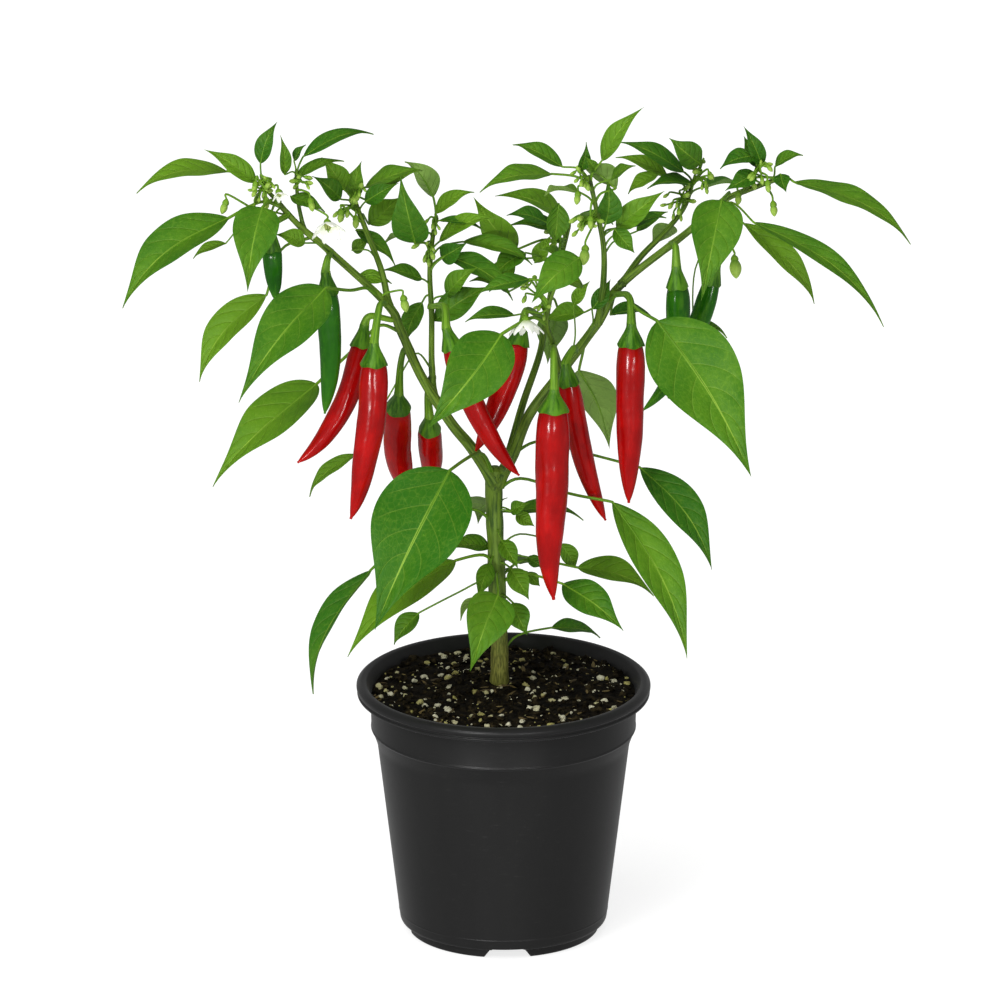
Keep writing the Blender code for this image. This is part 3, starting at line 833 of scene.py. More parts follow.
# Smaller leaves, which have no solid of their own, by the shoot that they grow on.
SMALL_LEAVES = {
    "left_crown": (
        Leaf("a", "left_end_twig", 305, (-133, -57, 309), (-161, -60, 329), 11, (0.1, -0.8, 0.6)),
        Leaf("b", "left_end_twig", 312, (-131, -58, 320), (-122, -58, 344), 10, (-0.3, -0.9, 0.2)),
        Leaf("c", "left_inner_twig", 309, (-118, -47, 310), (-120, -52, 334), 7, (0.3, -0.9, 0.2)),
        Leaf("d", "left_inner_twig", 310, (-113, -44, 317), (-107, -46, 327), 6, (0, -0.42, 0.7)),
        Leaf("e", "left_inner_twig", 300, (-113, -44, 307), (-86, -36, 315), 9, (0, -0.3, 0.9)),
        Leaf("f", "left_main", 292, (-124, -58, 290), (-140, -70, 279), 11, (-0.1, -0.8, 0.6)),
        Leaf("g", "left_inner_twig", 290, (-115, -45, 297), (-96, -52, 291), 10, (0, -0.42, 0.7)),
        Leaf("h", "left_main", 288, (-150, -30, 265), (-168, -32, 257), 7, (-0.2, -0.36, 0.7)),
        Leaf("i", "left_main", 266, (-107, -50, 272), (-123, -56, 279), 10, (0.1, -0.8, 0.5)),
    ),
    "left_rise_crown": (
        Leaf("a", "left_rise", 270, (-86, 12, 281), (-98, 5, 302), 13, (0.2, -0.9, 0.3)),
        Leaf("b", "left_rise", 268, (-88, 8, 277), (-103, 0, 293), 11, (0, -0.8, 0.6)),
        Leaf("c", "left_rise", 274, (-82, 18, 274), (-77, 16, 296), 11, (-0.2, -0.9, 0.3)),
        Leaf("d", "left_rise", 272, (-74, 24, 271), (-44, 26, 288), 14, (0, -0.36, 0.8)),
        Leaf("e", "left_rise", 266, (-75, 12, 274), (-57, 6, 287), 10, (0.1, -0.8, 0.5)),
        Leaf("f", "left_rise", 238, (-80, -16, 240), (-60, -14, 237), 10, (0, -0.42, 0.7)),
        Leaf("g", "left_rise", 246, (-82, 16, 245), (-72, 12, 254), 8, (0, -0.8, 0.5)),
        Leaf("h", "left_rise", 258, (-80, 12, 258), (-58, 6, 240), 11, (0.1, -0.36, 0.8)),
        Leaf("i", "left_rise", 262, (-73, 36, 253), (-56, 44, 266), 14, (0, -0.8, 0.5)),
    ),
    "middle_left_crown": (
        Leaf("a", "middle_left_rise", 256, (-38, 40, 267), (-53, 44, 287), 16, (0, 0.7, 0.6)),
        Leaf("b", "middle_left_rise", 257, (-37, 33, 260), (-16, 36, 272), 11, (0, -0.36, 0.8)),
        Leaf("c", "middle_left_rise", 252, (-35, 28, 258), (-10, 24, 254), 7, (0, -0.3, 0.9)),
        Leaf("d", "middle_left_rise", 240, (-35, 27, 246), (-4, 20, 263), 12, (0.1, -0.42, 0.7)),
        Leaf("e", "middle_left_rise", 236, (-22, 36, 243), (16, 33, 231), 12, (0, -0.36, 0.8)),
        Leaf("f", "middle_left_rise", 230, (-31, 22, 240), (6, 12, 219), 16, (0.1, -0.36, 0.8)),
        Leaf("g", "middle_left_rise", 205, (-38, 14, 205), (-9, 14, 225), 16, (0.3, -0.7, 0.6), peak=0.46),
        Leaf("l", "middle_left_rise", 218, (-44, 14, 216), (-53, 8, 194), 12, (-0.4, -0.8, 0.4)),
        Leaf("h", "middle_left_rise", 248, (-44, 36, 246), (-66, 52, 236), 14, (-0.2, 0.36, 0.8)),
        Leaf("i", "middle_left_rise", 222, (-44, 12, 230), (-66, 4, 238), 11, (0, -0.5, 0.8)),
        Leaf("j", "middle_left_rise", 214, (-31, 14, 220), (-14, 8, 238), 12, (0.1, -0.6, 0.7)),
        Leaf("k", "middle_left_rise", 232, (-34, 24, 238), (-20, 14, 250), 12, (0.1, -0.8, 0.4)),
    ),
    "middle_crown": (
        Leaf("a", "middle_rise", 234, (35, 80, 239), (-4, 62, 261), 15, (-0.1, -0.42, 0.7)),
        Leaf("b", "middle_rise", 230, (33, 76, 234), (3, 66, 243), 14, (0, -0.36, 0.8)),
        Leaf("c", "middle_rise", 222, (7, 52, 233), (-16, 42, 266), 17, (-0.1, -0.9, 0.3)),
        Leaf("d", "middle_rise", 216, (17, 56, 224), (26, 56, 240), 9, (0, -0.8, 0.5)),
        Leaf("e", "middle_rise", 212, (6, 46, 229), (-8, 44, 211), 13, (0, -0.7, 0.6)),
        Leaf("f", "middle_rise", 236, (41, 80, 243), (60, 84, 237), 12, (0.2, 0.3, 0.9)),
        Leaf("g", "middle_rise", 200, (30, 70, 190), (24, 78, 158), 17, (0, 0.9, 0.4)),
        Leaf("h", "middle_rise", 204, (2, 36, 214), (-18, 28, 224), 12, (0, -0.4, 0.9)),
        Leaf("i", "middle_rise", 214, (30, 44, 262), (27, 46, 238), 13, (0.2, -0.8, 0.4)),
        Leaf("j", "middle_rise", 208, (12, 38, 236), (-6, 26, 226), 13, (0, -0.5, 0.8)),
        Leaf("k", "middle_rise", 228, (24, 58, 246), (2, 50, 254), 12, (0, -0.5, 0.8)),
    ),
    "front_twig_leaves": (
        Leaf("a", "front_twig", 218, (6, -22, 221), (-21, -26, 219), 10, (0, -0.36, 0.8)),
        Leaf("b", "right_main", 182, (38, 6, 217), (47, 6, 231), 7, (0, -0.8, 0.5)),
        Leaf("c", "right_main", 196, (48, 8, 214), (58, 12, 230), 9, (0, -0.8, 0.5)),
        Leaf("d", "front_twig", 252, (32, -38, 258), (20, -48, 268), 10, (0, -0.42, 0.7)),
        Leaf("e", "front_twig", 236, (14, -34, 246), (-14, -40, 240), 12, (0, -0.4, 0.9)),
        Leaf("f", "front_twig", 232, (30, -18, 240), (44, -6, 232), 11, (0.2, -0.5, 0.8)),
        Leaf("g", "right_main", 208, (44, 26, 206), (22, 30, 200), 13, (0, -0.5, 0.8)),
    ),
    "right_rise_crown": (
        Leaf("a", "right_rise", 294, (42, -21, 303), (45, -26, 321), 7, (0.3, -0.9, 0.3)),
        Leaf("b", "right_rise", 298, (50, -23, 304), (44, -28, 314), 6, (0, -0.8, 0.6)),
        Leaf("c", "right_rise", 262, (61, -5, 265), (87, -10, 288), 13, (0.1, -0.8, 0.5)),
        Leaf("d", "right_rise", 284, (61, -12, 290), (42, -16, 304), 16, (0, 0.7, 0.6)),
        Leaf("e", "right_rise", 262, (55, -11, 269), (56, -14, 295), 14, (0.2, -0.9, 0.2)),
        Leaf("f", "right_rise", 290, (58, -20, 298), (71, -25, 308), 10, (0, -0.36, 0.8)),
        Leaf("g", "right_rise", 252, (68, -5, 266), (88, -6, 272), 10, (0.1, -0.36, 0.8)),
        Leaf("h", "right_rise", 248, (72, 4, 260), (89, 6, 271), 9, (0, -0.42, 0.7)),
        Leaf("i", "right_rise", 260, (60, -12, 267), (71, -18, 255), 10, (0.1, -0.8, 0.5)),
        Leaf("j", "right_rise", 280, (40, -8, 287), (22, 2, 282), 14, (-0.1, 0.3, 0.9)),
    ),
    "right_back_crown": (
        Leaf("a", "right_back_rise", 270, (98, 50, 278), (63, 48, 297), 13, (0, -0.42, 0.7)),
        Leaf("b", "right_back_rise", 268, (89, 52, 275), (61, 54, 286), 10, (0, -0.42, 0.7)),
        Leaf("c", "right_back_rise", 264, (84, 46, 278), (67, 44, 268), 10, (0, -0.36, 0.8)),
        Leaf("d", "right_back_rise", 266, (103, 50, 271), (78, 38, 274), 12, (0, -0.3, 0.9)),
        Leaf("e", "right_back_rise", 262, (108, 60, 266), (132, 72, 262), 14, (0.2, 0.3, 0.9)),
        Leaf("f", "right_back_rise", 252, (92, 60, 244), (80, 70, 228), 13, (0, 0.9, 0.4)),
    ),
    "right_end_crown": (
        Leaf("a", "right_end_twig", 290, (136, 20, 298), (117, 10, 294), 12, (0, -0.42, 0.7)),
        Leaf("b", "right_end_twig", 286, (136, 18, 289), (120, 6, 283), 11, (0, -0.8, 0.6)),
        Leaf("c", "right_end_twig", 288, (140, 22, 291), (130, 22, 314), 9, (0.2, -0.9, 0.3)),
        Leaf("d", "right_end_twig", 288, (139, 25, 289), (130, 30, 306), 8, (0, -0.9, 0.4)),
        Leaf("e", "right_main", 281, (147, 22, 291), (162, 22, 298), 10, (0, -0.3, 0.9)),
        Leaf("f", "right_main", 281, (150, 18, 288), (153, 8, 281), 9, (0, -0.8, 0.6)),
        Leaf("g", "right_main", 266, (103, 44, 194), (122, 46, 185), 7, (0.1, -0.2, 1), 0.11, (104, 40, 226)),
        Leaf("h", "right_main", 216, (58, 42, 199), (82, 56, 193), 12, (0.1, -0.18, 0.9)),
    ),
    "trunk_leaves": (
        Leaf("a", "trunk", 52, (-46, 6, 40), (-60, 0, 24), 12, (-0.3, -0.7, 0.6), 0.11, (-24, 12, 50)),
        Leaf("b", "trunk", 74, (31, 20, 75), (39, 24, 59), 10, (0.1, -0.8, 0.5)),
        Leaf("c", "trunk", 68, (13, 7, 72), (21, 8, 66), 7, (0, -0.8, 0.6)),
        Leaf("d", "trunk", 60, (13, 5, 64), (20, 4, 56), 7, (0, -0.8, 0.6)),
        Leaf("e", "trunk", 66, (4, -6, 70), (14, -15, 55), 12, (0.1, -0.9, 0.4)),
        Leaf("f", "trunk", 46, (5, -8, 51), (13, -16, 35), 13, (0.1, -0.9, 0.4)),
        Leaf("g", "trunk", 84, (-1, -8, 87), (8, -18, 74), 10, (0.1, -0.9, 0.4)),
        Leaf("h", "trunk", 76, (-7, 9, 77), (-29, 5, 78), 14, (0, -0.36, 0.8)),
        Leaf("i", "trunk", 42, (-9, 22, 44), (-24, 30, 28), 10, (-0.1, 0.3, 0.8)),
        Leaf("j", "trunk", 70, (-7, 0, 71), (-14, -14, 55), 10, (0, -0.9, 0.4)),
        Leaf("k", "trunk", 96, (4, 2, 100), (14, -4, 107), 8, (0, -0.8, 0.6)),
        Leaf("l", "trunk", 98, (7, 4, 98), (17, 0, 92), 8, (0, -0.8, 0.6)),
        Leaf("m", "trunk", 92, (4, 12, 96), (44, 20, 90), 12, (0.1, -0.3, 0.9)),
        Leaf("n", "trunk", 88, (-2, 28, 96), (-14, 62, 72), 21, (0, 0.36, 0.8)),
        Leaf("o", "trunk", 62, (8, 26, 62), (24, 56, 44), 18, (0.1, 0.36, 0.8)),
    ),
}

PODS = (
    Pod("far_left", True, "left_main", 219, (-72, -26, 222), (-77, -27, 206), (-110, -43, 143), 6.4,
        (5, 0, -4)),
    Pod("left_front", True, "left_main", 230, (-67, -43, 233), (-70, -53, 205), (-82, -56, 116), 8.0,
        (3, 0, 0)),
    Pod("left_inner", True, "left_main", 197, (-56, -8, 186), (-57, -8, 164), (-55, 30, 104), 7.4,
        (-1, 0, 0), 7.0),
    Pod("middle_left_back", True, "middle_left_rise", 177, (-41, 13, 164), (-40, 16, 143),
        (-39, 43, 105), 6.4, (0, 0, 0), 7.0),
    Pod("middle_left", True, "middle_left_rise", 213, (-32, -11, 222), (-28, -24, 204), (7, -27, 130),
        6.4, (-3, 0, -2)),
    Pod("middle_back", True, "middle_rise", 190, (13, 24, 208), (8, 5, 196), (-15, -11, 139), 7.0,
        (2, 0, 0)),
    Pod("middle_front", True, "front_twig", 199, (27, -26, 201), (27, -37, 173), (24, -40, 64), 9.2,
        (0, 0, 0)),
    Pod("middle_right", True, "right_main", 187, (38, -2, 195), (35, -10, 179), (54, -2, 96), 6.4,
        (-2, 0, 0)),
    Pod("right_front", True, "right_main", 220, (68, -3, 225), (69, -18, 204), (68, -21, 113), 8.0,
        (0, 0, 0)),
    Pod("green_far_left", False, "left_main", 289, (-123, -62, 288), (-125, -61, 273),
        (-123, -61, 244), 5.2, (0, 0, 0)),
    Pod("green_left", False, "left_main", 263, (-95, -54, 264), (-95, -54, 246), (-96, -54, 176), 6.4,
        (2, 0, 0)),
    Pod("green_right", False, "right_main", 244, (93, 8, 250), (94, 5, 229), (90, 5, 164), 6.6,
        (2, 0, 0)),
    Pod("green_right_back", False, "right_main", 262, (114, 37, 246), (113, 34, 221), (77, 34, 146),
        5.6, (4, 0, -3)),
)

# Tight bunches of buds: the limb, the height they leave it, the middle of the bunch, how far it
# spreads and how many there are.
BUNCHES = (
    ("left_end_twig", 304, (-131, -60, 303), 9, 10), ("left_end_twig", 310, (-127, -60, 309), 6, 6),
    ("left_inner_twig", 306, (-109, -48, 306), 7, 6), ("left_rise", 270, (-83, 8, 270), 8, 9),
    ("left_rise", 276, (-78, 14, 278), 6, 5), ("middle_left_rise", 244, (-41, 22, 243), 8, 8),
    ("middle_left_rise", 256, (-38, 28, 258), 6, 5), ("right_rise", 276, (45, -22, 272), 9, 10),
    ("right_rise", 298, (43, -24, 299), 7, 7), ("front_twig", 228, (17, -30, 238), 9, 7),
    ("front_twig", 214, (22, -22, 224), 8, 5), ("right_back_rise", 262, (96, 46, 263), 10, 12),
    ("right_back_rise", 271, (108, 46, 277), 9, 9), ("right_end_twig", 289, (139, 18, 289), 7, 9),
    ("right_main", 280, (132, 20, 284), 6, 5), ("middle_rise", 226, (30, 66, 232), 9, 6),
)

BLOOMS = (
    Bloom("left_main", 296, (-150, -66, 300), (-0.3, -0.4, -0.8), 4.0),
    Bloom("left_end_twig", 305, (-128, -62, 300), (0, -0.5, -0.8), 3.4),
    Bloom("left_end_twig", 311, (-134, -62, 309), (-0.2, -0.4, -0.8), 3.0),
    Bloom("left_inner_twig", 300, (-104, -52, 296), (0.2, -0.5, -0.8), 3.6),
    Bloom("left_inner_twig", 292, (-95, -58, 286), (0.1, -0.72, -0.66), 9.5, True),
    Bloom("left_end_twig", 306, (-121, -66, 306), (0.2, -0.7, -0.6), 4.6, True),
    Bloom("left_main", 232, (-54, -28, 232), (0.2, -0.4, -0.9), 4.6),
    Bloom("right_main", 262, (125, 6, 243), (0.1, -0.4, -0.9), 6.5),
    Bloom("right_rise", 274, (44, -32, 262), (-0.1, -0.4, -0.9), 5.5),
    Bloom("left_rise", 262, (-88, -2, 272), (-0.1, -0.6, -0.7), 3.4),
    Bloom("left_rise", 268, (-80, 6, 266), (0, -0.6, -0.7), 3.6),
    Bloom("front_twig", 224, (12, -36, 223), (0.05, -0.35, -0.95), 10.0, True),
    Bloom("right_rise", 296, (40, -26, 291), (-0.1, -0.5, -0.8), 3.6),
    Bloom("right_rise", 286, (47, -27, 277), (0, -0.6, -0.8), 3.4),
    Bloom("right_end_twig", 286, (127, 14, 277), (0, -0.6, -0.8), 3.6),
    Bloom("right_end_twig", 290, (143, 12, 284), (0.1, -0.6, -0.8), 3.2),
    Bloom("right_main", 280, (146, 12, 272), (0.1, -0.3, -0.9), 4.0),
)


class Growth:
    """Finds places on the plan's limbs, in the pot's own heights."""

    joint_share: float = 0.25
    joint_gap: float = 0.9

    def __init__(self, crown: float) -> None:
        """Lays out the limbs.

        Args:
            crown: The height of the soil's crown, in millimetres.
        """
        self.crown = crown
        self.limbs = {limb.name: limb for limb in LIMBS}
        self.paths = {limb.name: smooth_path(self.lift(*limb.points), 12) for limb in LIMBS}

    def lift(self, *points: Point) -> Array:
        """Points that are given above the soil, in the pot's heights."""
        return np.array(points, float) + (0, 0, self.crown)

    def place_on(self, limb: str, height: float) -> tuple[Array, Array, float]:
        """Where a limb reaches a height.

        Args:
            limb: The limb's name.
            height: The height above the soil's crown.

        Returns:
            Its centre, direction and radius there.
        """
        path, plan = self.paths[limb], self.limbs[limb]
        above = np.nonzero(path[:, 2] >= height + self.crown)[0]
        i = int(above[0]) if len(above) else len(path) - 1
        share = i / (len(path) - 1)
        return path[i], tangents(path)[i], plan.thick + (plan.thin - plan.thick) * share

    def leave(self, limb: str, height: float, towards: Array) -> list[Array]:
        """The first points of a stalk that heads for a point: inside the limb, and then square to it."""
        centre, along, radius = self.place_on(limb, height)
        away = towards - centre
        square = unit(away - along * away.dot(along))
        start = centre + square * (radius + self.joint_gap)
        return [centre, start, start + square * self.joint_share * np.linalg.norm(towards - start)]

    def spring(self, limb: str, height: float, towards: Array) -> list[Array]:
        """The first points of a slim stalk, which leaves at a slant, a little up the limb."""
        centre, along, radius = self.place_on(limb, height)
        away = towards - centre
        reach = np.linalg.norm(away)
        slant = unit(0.35 * along * np.sign(along[2]) + 0.95 * unit(away) + (0, 0, 0.18))
        return [centre, centre + slant * max(0.42 * reach, radius * 1.2)]

    def joints(self) -> Array:
        """Every place where something leaves a limb."""
        places = [self.place_on(x.limb, x.height)[0] for x in (*LEAVES, *PODS)]
        return np.array(places + [self.lift(limb.points[0])[0] for limb in LIMBS[1:]])


# ---------------------------------------------------------------- the parts


@dataclass
class Pot:
    """The moulded pot: a thin shell with a rolled lip, a collar, a foot and drain notches."""

    height: float
    rim: float
    wall: float = 1.6
    collar: float = 72.4
    collar_top: float = 134.3
    collar_foot: float = 116.0
    body_top: float = 107.5
    body_top_radius: float = 68.6
    body_foot: float = 7.0
    body_foot_radius: float = 56.2
    foot: float = 52.0
    foot_height: float = 5.2
    notches: int = 4
    notch_turn: float = 2.4
    notch_lining: Wedge = (33.4, (30.2, 20.2), -1.0, 7.8)
    notch_opening: Wedge = (35.0, (26.4, 16.8), -0.5, 6.2)
    drain: Wedge = (30.0, (9.0, 9.0), 1.9, 4.6)
    weld: float = 0.003
    sides: int = 192

    def inner_wall(self, height: float) -> float:
        """The inner radius at a height."""
        line = ((self.body_foot, self.body_foot_radius), (self.body_top, self.body_top_radius),
                (self.collar_foot, self.collar - 0.6), (self.collar_top, self.collar))
        return float(np.interp(height, [h for h, _ in line], [r for _, r in line])) - self.wall

    def outside(self) -> list[tuple[float, float, float]]:
        """The outer section: up from the floor, over the lip and into the mouth.

        Returns:
            Its corners as (radius, height, rounding).
        """
        top = self.height
        return [
            (0, 0, 0), (self.foot - 0.7, 0, 0.5), (self.foot, 0.8, 0.5),
            (self.foot + 0.2, self.foot_height, 0.4),
            (self.body_foot_radius - 0.6, self.foot_height + 0.5, 0.4),
            (self.body_foot_radius, self.body_foot, 0.4),
            (self.body_foot_radius + 0.50, self.body_foot + 3.9, 0.2),
            (self.body_foot_radius + 0.72, self.body_foot + 4.3, 0.2),
            (self.body_foot_radius + 0.62, self.body_foot + 4.8, 0.2),
            (self.body_top_radius, self.body_top, 2.5), (self.collar - 1.0, self.collar_foot - 1.0, 0.3),
            (self.collar - 0.35, self.collar_foot - 0.4, 0.3),
            (self.collar - 0.30, self.collar_foot + 0.3, 0.4),
            (self.collar - 0.55, self.collar_foot + 0.9, 0.3), (self.collar, self.collar_top, 0.4),
            (self.rim - 1.5, self.collar_top, 0.3), (self.rim - 0.5, self.collar_top + 0.5, 0.4),
            (self.rim - 0.4, self.collar_top + 1.6, 0.3), (self.rim - 1.1, self.collar_top + 2.0, 0.3),
            (self.rim - 0.9, self.collar_top + 3.0, 0.3), (self.rim - 0.1, self.collar_top + 3.6, 0.5),
            (self.rim, top - 2.0, 1.6), (self.rim - 2.4, top, 1.4), (self.rim - 5.2, top - 0.5, 0.8),
            (self.inner_wall(self.collar_top), self.collar_top - 2.0, 1.2),
            (self.inner_wall(self.collar_foot), self.collar_foot, 1.0), (0, self.collar_foot, 0),
        ]

    def hollow(self) -> list[tuple[float, float, float]]:
        """The section of the hollow under the mouth."""
        foot, reach = self.foot - self.wall, 3.0
        return [
            (0, self.wall, 0), (foot, self.wall, 1.0), (foot, self.foot_height + 1.2, 1.0),
            (self.inner_wall(self.body_foot), self.body_foot + 1.5, 1.0),
            (self.inner_wall(self.body_top), self.body_top, 1.0),
            (self.inner_wall(self.collar_foot) - 2.5, self.collar_foot + reach, 0.5),
            (0, self.collar_foot + reach, 0),
        ]

    def rounded(self, corners: Sequence[tuple[float, float, float]]) -> list[tuple[float, float]]:
        """A section with its corners rounded, without its two ends on the axis."""
        line = []
        for before, (radius, height, size), after in zip(corners, corners[1:], corners[2:]):
            here = np.array((radius, height))
            to_before, to_after = (np.array(p[:2]) - here for p in (before, after))
            reach = min(size, 0.45 * np.linalg.norm(to_before), 0.45 * np.linalg.norm(to_after))
            first, last = here + unit(to_before) * reach, here + unit(to_after) * reach
            for t in (0.0, 0.25, 0.5, 0.75, 1.0):
                line.append(tuple((1 - t) ** 2 * first + 2 * t * (1 - t) * here + t**2 * last))
        return line

    def turned(self, name: str, section: Sequence[tuple[float, float]], start: float) -> bpy.types.Object:
        """A section turned round the pot's axis from a share of a step, closed at both of its ends."""
        angle = (np.arange(self.sides) + start) * math.tau / self.sides
        rings = np.array([[(r * math.cos(a), r * math.sin(a), z) for a in angle] for r, z in section])
        skin = Skin()
        skin.loft(rings)
        return skin.build(name, [Look.POT], 30)

    def wedge(self, turn: float, inner: float, widths: tuple[float, float], floor: float,
              top: float) -> bpy.types.Object:
        """A prism that points outward and is narrower at its top, for a notch and its lining.

        Args:
            turn: The direction it points in.
            inner: How near the axis it starts.
            widths: Its widths at its foot and at its top.
            floor: The height of its foot.
            top: The height of its top.

        Returns:
            The prism.
        """
        out = np.array((math.sin(turn), -math.cos(turn), 0))
        side = np.array((math.cos(turn), math.sin(turn), 0))
        low, high = widths[0] / 2, widths[1] / 2
        section = ((-low, floor), (low, floor), (high, top), (-high, top))
        rings = [[out * reach + side * across + (0, 0, up) for across, up in section]
                 for reach in (inner, self.rim - 18)]
        skin = Skin()
        skin.loft(np.array(rings))
        return skin.build("notch_tool", [Look.POT])

    def build(self) -> None:
        """Moulds the pot, with a lined notch over each drain hole."""
        pot = self.turned("pot_shell", self.rounded(self.outside()), 0.0)
        hollow = self.turned("pot_hollow", self.rounded(self.hollow()), 0.5)
        turns = [math.radians(self.notch_turn) + math.tau * i / self.notches for i in range(self.notches)]
        for turn in turns:
            combine(hollow, self.wedge(turn, *self.notch_lining), "DIFFERENCE")
            combine(pot, self.wedge(turn, *self.notch_opening), "DIFFERENCE")
        combine(pot, hollow, "DIFFERENCE")
        for turn in turns:
            combine(pot, self.wedge(turn, *self.drain), "DIFFERENCE")
        pot.modifiers.new("weld", "WELD").merge_threshold = self.weld * MM
        bake_modifiers(pot)
        pot.data.set_sharp_from_angle(angle=math.radians(35))
        settle(pot, "pot_plastic", "pot")


@dataclass
class Soil:
    """The potting mix: a rough low mound, and the bits that lie on it."""

    pot: Pot
    crown: float
    edge_height: float = 136.4
    stones: int = 380
    crumbs: int = 1000
    chips: int = 130
    trunk: tuple[float, float] = (-2, 8)
    bare: float = 6

    @property
    def radius(self) -> float:
        """The radius of the mound at the pot's wall."""
        return self.pot.inner_wall(self.pot.collar_top) + 1.2

    def height_at(self, x: float, y: float) -> float:
        """The height of the mound at a point, in millimetres."""
        share = min(math.hypot(x, y) / self.radius, 1.0)
        mound = self.edge_height + (self.crown - self.edge_height) * (1 - share**2)
        lumps = noise.fractal(Vector((x, y, 3.0)) / 11, 0.8, 2.2, 4)
        grit = noise.fractal(Vector((x, y, 9.0)) / 2.6, 0.7, 2.0, 3)
        return mound + 1.15 * lumps + 0.55 * grit - 0.9

    def mound(self) -> bpy.types.Object:
        """The body of the mix, which fills the pot."""
        columns, steps = 220, 76
        angle = np.arange(columns) * math.tau / columns
        pot = self.pot
        rings = [[(r * math.cos(a), r * math.sin(a), z) for a in angle]
                 for r, z in ((31.0, 2.4), (31.0, 9.2), (pot.inner_wall(10.0) - 0.6, 10.0),
                              (pot.inner_wall(pot.body_top) - 0.6, pot.body_top),
                              (pot.inner_wall(pot.body_top) - 0.6, pot.collar_foot + 2),
                              (pot.inner_wall(pot.collar_top) - 0.9, pot.collar_top - 4))]
        for i in range(steps):
            reach = self.radius * (1 - 0.01 - 0.985 * i / steps)
            spots = ((reach * math.cos(a), reach * math.sin(a)) for a in angle)
            rings.append([(x, y, self.height_at(x, y)) for x, y in spots])
        skin = Skin()
        skin.loft(np.array(rings))
        return skin.build("soil_bed", [Look.EARTH], 70)

    def bits(self, name: str, look: Look, count: int, sizes: tuple[float, float], squash: float,
             long: float, rough: float) -> bpy.types.Object:
        """Bits that lie about on the mound.

        Args:
            name: The piece's name.
            look: Its finish.
            count: How many bits there are.
            sizes: The smallest and the largest radius.
            squash: How flat they are.
            long: How long they are for their width.
            rough: How uneven they are.

        Returns:
            All of them in one object.
        """
        pick = random.Random(name)
        corners, _ = ball()
        bits, marks = [], []
        for _ in range(count):
            reach, turn = (self.radius - 1.5) * math.sqrt(pick.random()), pick.uniform(0, math.tau)
            x, y = reach * math.cos(turn), reach * math.sin(turn)
            if math.hypot(x - self.trunk[0], y - self.trunk[1]) < self.bare:
                continue
            size = sizes[0] + (sizes[1] - sizes[0]) * pick.random() ** 3
            seed = Vector((pick.uniform(0, 90), pick.uniform(0, 90), 0))
            uneven = np.array([1 + rough * noise.noise(Vector(c) * 1.3 + seed) for c in corners])
            shape = corners * uneven[:, None] * (size * long, size, size * squash)
            spin, tilt = pick.uniform(0, math.tau), pick.uniform(-0.5, 0.5)
            c, s = math.cos(spin), math.sin(spin)
            rise, fall = math.sin(tilt), math.cos(tilt)
            lean = np.array(((fall, 0, -rise), (0, 1, 0), (rise, 0, fall)))
            shape = shape @ lean.T @ np.array(((c, s, 0), (-s, c, 0), (0, 0, 1)))
            sunk = pick.uniform(-0.35, 0.6) * size * squash
            bits.append(shape + (x, y, self.height_at(x, y) + sunk))
            marks.append((pick.random(), pick.random(), pick.random()))
        skin = Skin()
        skin.scatter(np.array(bits), np.array(marks))
        return skin.build(name, [look], 60)

    def build(self) -> None:
        """Fills the pot."""
        settle(self.mound(), "soil", "potting_soil")
        settle(self.bits("soil_crumbs", Look.CRUMB, self.crumbs, (0.5, 2.2), 0.8, 1.1, 0.9), "soil")
        settle(self.bits("perlite", Look.STONE, self.stones, (0.4, 2.0), 0.8, 1.15, 0.7), "soil")
        settle(self.bits("bark_chips", Look.BARK, self.chips, (0.5, 1.3), 0.45, 3.4, 0.8), "soil")


